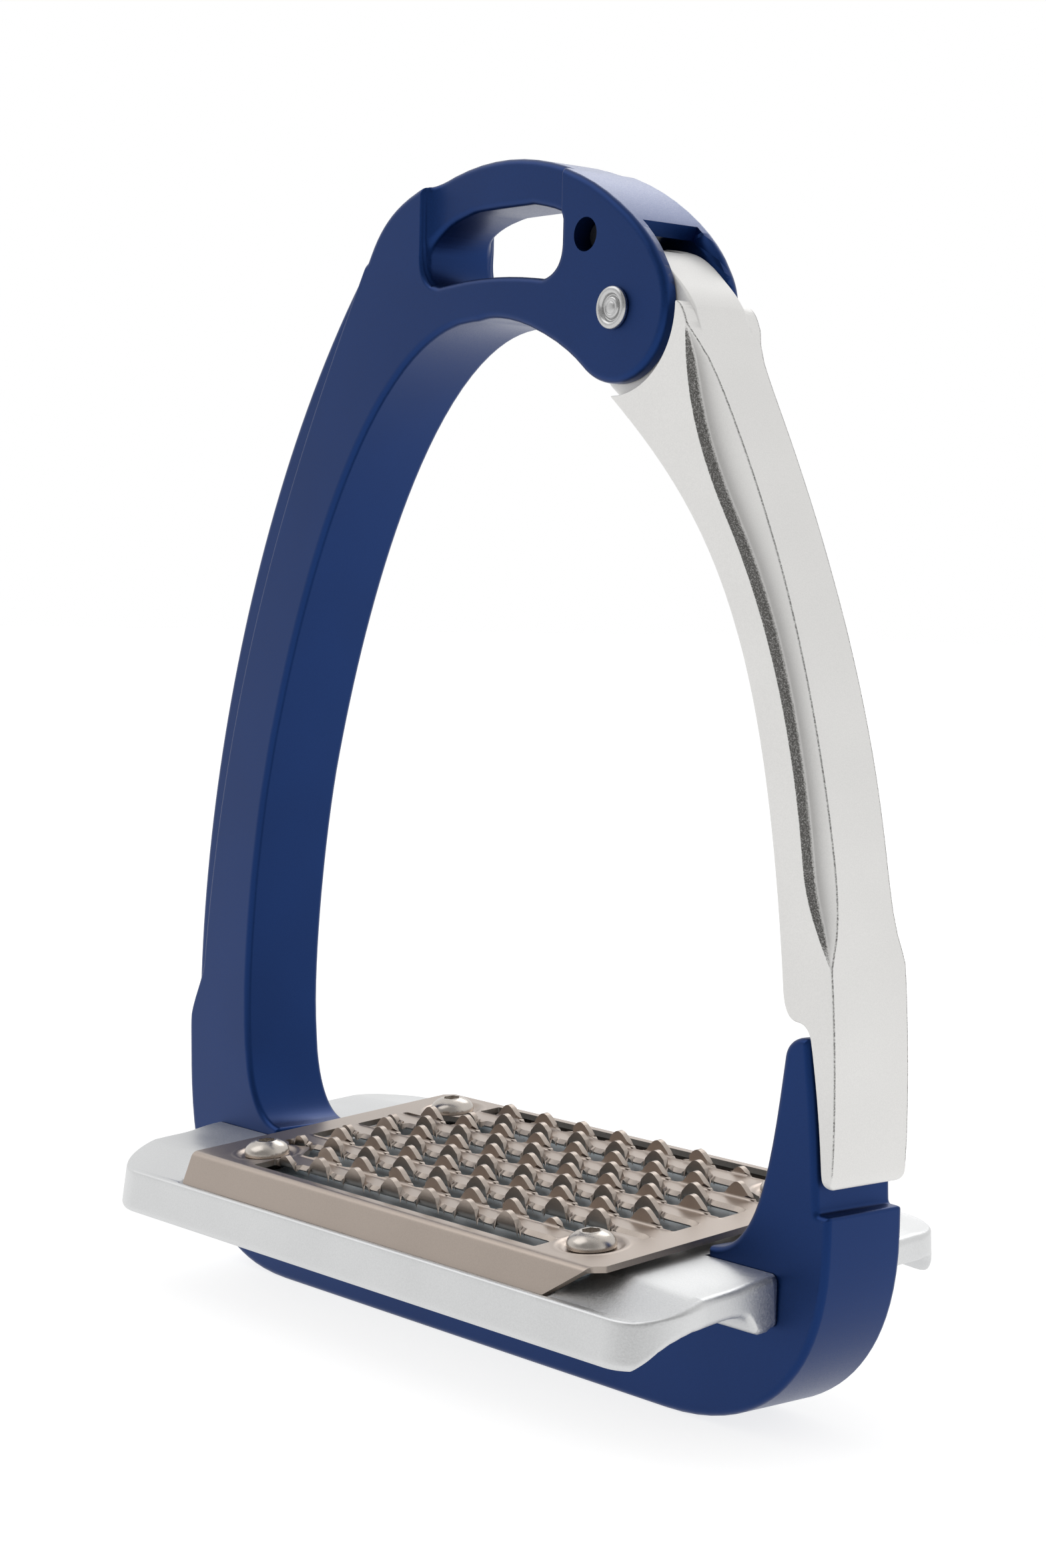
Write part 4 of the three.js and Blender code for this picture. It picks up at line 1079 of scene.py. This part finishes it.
def button_screw():
    """Rounded head on a plain shank, seated at height zero."""
    radius = SCREW_HEAD_RADIUS
    height = SCREW_HEAD_HEIGHT
    profile = [(0, -7.4), (1.6, -7.4), (2.0, -7.0), (2.0, 0)]
    profile += [(radius - 0.15, 0), (radius, 0.12), (radius, 0.4)]
    for angle in np.radians(np.linspace(8, 64, 12)):
        profile.append((radius * math.cos(angle) ** 0.9, 0.4 + (height - 0.45) * math.sin(angle) / 0.9))
    profile += [(1.58, height), (0, height)]
    return turned(profile, 72)


def make_tread_screw(name, node, x, y, spin):
    vertices, faces = button_screw()
    piece = add_piece(name, vertices, faces, [polished_steel])
    cut(piece, [hexagon(SOCKET_RADIUS, SOCKET_FLOOR, SCREW_HEAD_HEIGHT + 1.7, 0.5)], 30)
    piece.data.transform(Matrix.Rotation(spin, 4, "Z"))
    place = Matrix.Translation(Vector((0, 0, TREAD_Z)) * MM) @ Matrix.Rotation(TREAD_TILT, 4, "X")
    seat = Matrix.Translation(Vector((TREAD_X + x, y, SCREW_LIFT - DISH_DEPTH)) * MM)
    piece.data.transform(place @ seat)
    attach(piece, "stirrup")
    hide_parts(node)


def make_pin():
    """Riveted head with a raised ring round a shallow centre, on a plain pin."""
    seat = FRAME_HALF
    profile = [(0, -seat - 0.95), (1.7, -seat - 0.95), (2.15, -seat - 0.6), (2.15, seat), (2.7, seat)]
    profile += [(2.9, seat + 0.05), (3.0, seat + 0.2), (3.0, seat + 0.5), (2.93, seat + 0.7)]
    profile += [(2.75, seat + 0.82), (2.45, seat + 0.86), (2.15, seat + 0.82), (1.98, seat + 0.68)]
    profile += [(1.9, seat + 0.45), (1.84, seat + 0.28), (1.72, seat + 0.24), (1.6, seat + 0.28)]
    profile += [(1.54, seat + 0.45), (1.46, seat + 0.62), (1.3, seat + 0.7), (1.1, seat + 0.7)]
    profile += [(0.98, seat + 0.64), (0.88, seat + 0.62), (0.78, seat + 0.66), (0.6, seat + 0.72)]
    profile += [(0.3, seat + 0.75), (0, seat + 0.75)]
    vertices, faces = turned(profile, 72)
    piece = add_piece("riveted_pin", vertices, faces, [pin_steel], sharp=60)
    upright_turn = Matrix.Rotation(math.pi / 2, 4, "X")
    piece.data.transform(Matrix.Translation(Vector((PIN[0], 0, PIN[1])) * MM) @ upright_turn)
    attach(piece, "stirrup")
    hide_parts("hinge_pin")


make_footbed()
make_pad()
make_tread_plate()
make_pin()
corners = ["front_left", "front_right", "rear_left", "rear_right"]
for number, (corner, (x, y)) in enumerate(zip(corners, screw_places())):
    make_tread_screw("button_screw_" + corner, "tread_screw_" + corner, x, y, 0.4 + number)


# ---------------------------------------------- plain CAD nodes

def refinish(node, material):
    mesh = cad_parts[node].data
    mesh.materials.clear()
    mesh.materials.append(material)


for node, material in {
    "pin_retainer": pin_steel,
    "hinge_bush_front": bronze,
    "hinge_bush_rear": bronze,
    "closing_spring": spring_steel,
    "spring_anchor": black_oxide,
    "footbed_screw_left": black_oxide,
    "footbed_screw_right": black_oxide,
}.items():
    refinish(node, material)


# ---------------------------------------------- floor and light

def make_floor():
    """A pale table that glows a little, so the shadow on it stays faint."""
    size = 6000.0
    corners = [(-size, -size, 0), (size, -size, 0), (size, size, 0), (-size, size, 0)]
    surface = Surface("pale_floor", (0.33, 0.33, 0.33), 0.0, 0.9)
    surface.shader.inputs["Specular IOR Level"].default_value = 0.1
    surface.shader.inputs["Emission Color"].default_value = (1.0, 1.0, 1.0, 1)
    surface.shader.inputs["Emission Strength"].default_value = 0.80
    floor = add_piece("floor", corners, [(0, 1, 2, 3)], [surface.material])


def make_world():
    world = bpy.data.worlds.new("studio")
    bpy.context.scene.world = world
    world.use_nodes = True
    tree = world.node_tree
    background = tree.nodes["Background"]
    background.inputs["Strength"].default_value = 1.0
    direction = tree.nodes.new("ShaderNodeTexCoord")
    dot = tree.nodes.new("ShaderNodeVectorMath")
    dot.operation = "DOT_PRODUCT"
    opening = Vector((0.36, -0.86, 0.36)).normalized()
    dot.inputs[1].default_value = opening
    tree.links.new(direction.outputs["Generated"], dot.inputs[0])
    ramp = tree.nodes.new("ShaderNodeMapRange")
    ramp.interpolation_type = "SMOOTHSTEP"
    for key, number in {"From Min": 0.1, "From Max": 0.9, "To Min": 1.0, "To Max": 0.4}.items():
        ramp.inputs[key].default_value = number
    tree.links.new(dot.outputs["Value"], ramp.inputs["Value"])
    tree.links.new(ramp.outputs["Result"], background.inputs["Color"])


def make_light(name, place, size, power):
    light = bpy.data.lights.new(name, "AREA")
    light.shape = "RECTANGLE"
    light.size = size[0]
    light.size_y = size[1]
    light.energy = power
    lamp = bpy.data.objects.new(name, light)
    target = Vector((0, 0, 0.08))
    lamp.location = place
    lamp.rotation_euler = (target - Vector(place)).to_track_quat("-Z", "Y").to_euler()
    bpy.context.scene.collection.objects.link(lamp)


def make_camera():
    azimuth = math.radians(49.658)
    pitch = math.radians(3.794)
    roll = math.radians(1.376)
    side = Vector((math.cos(azimuth), math.sin(azimuth), 0))
    forward = Vector((
        -math.sin(azimuth) * math.cos(pitch),
        math.cos(azimuth) * math.cos(pitch),
        -math.sin(pitch),
    ))
    over = side.cross(forward)
    right = math.cos(roll) * side + math.sin(roll) * over
    up = math.cos(roll) * over - math.sin(roll) * side
    data = bpy.data.cameras.new("camera")
    data.sensor_width = 36
    data.lens = 65.51
    data.clip_start = 0.01
    data.clip_end = 30
    camera = bpy.data.objects.new("camera", data)
    place = Matrix((right, up, -forward)).transposed().to_4x4()
    place.translation = Vector((0.32436, -0.27341, 0.11119))
    camera.matrix_world = place
    bpy.context.scene.collection.objects.link(camera)
    bpy.context.scene.camera = camera


make_floor()
make_world()
make_light("key", (-0.5, -0.6, 1.0), (0.9, 0.9), 3.0)
make_light("top_back", (-0.46, 0.78, 0.88), (0.6, 0.5), 2.2)
make_camera()
bpy.context.scene.view_settings.view_transform = "Standard"
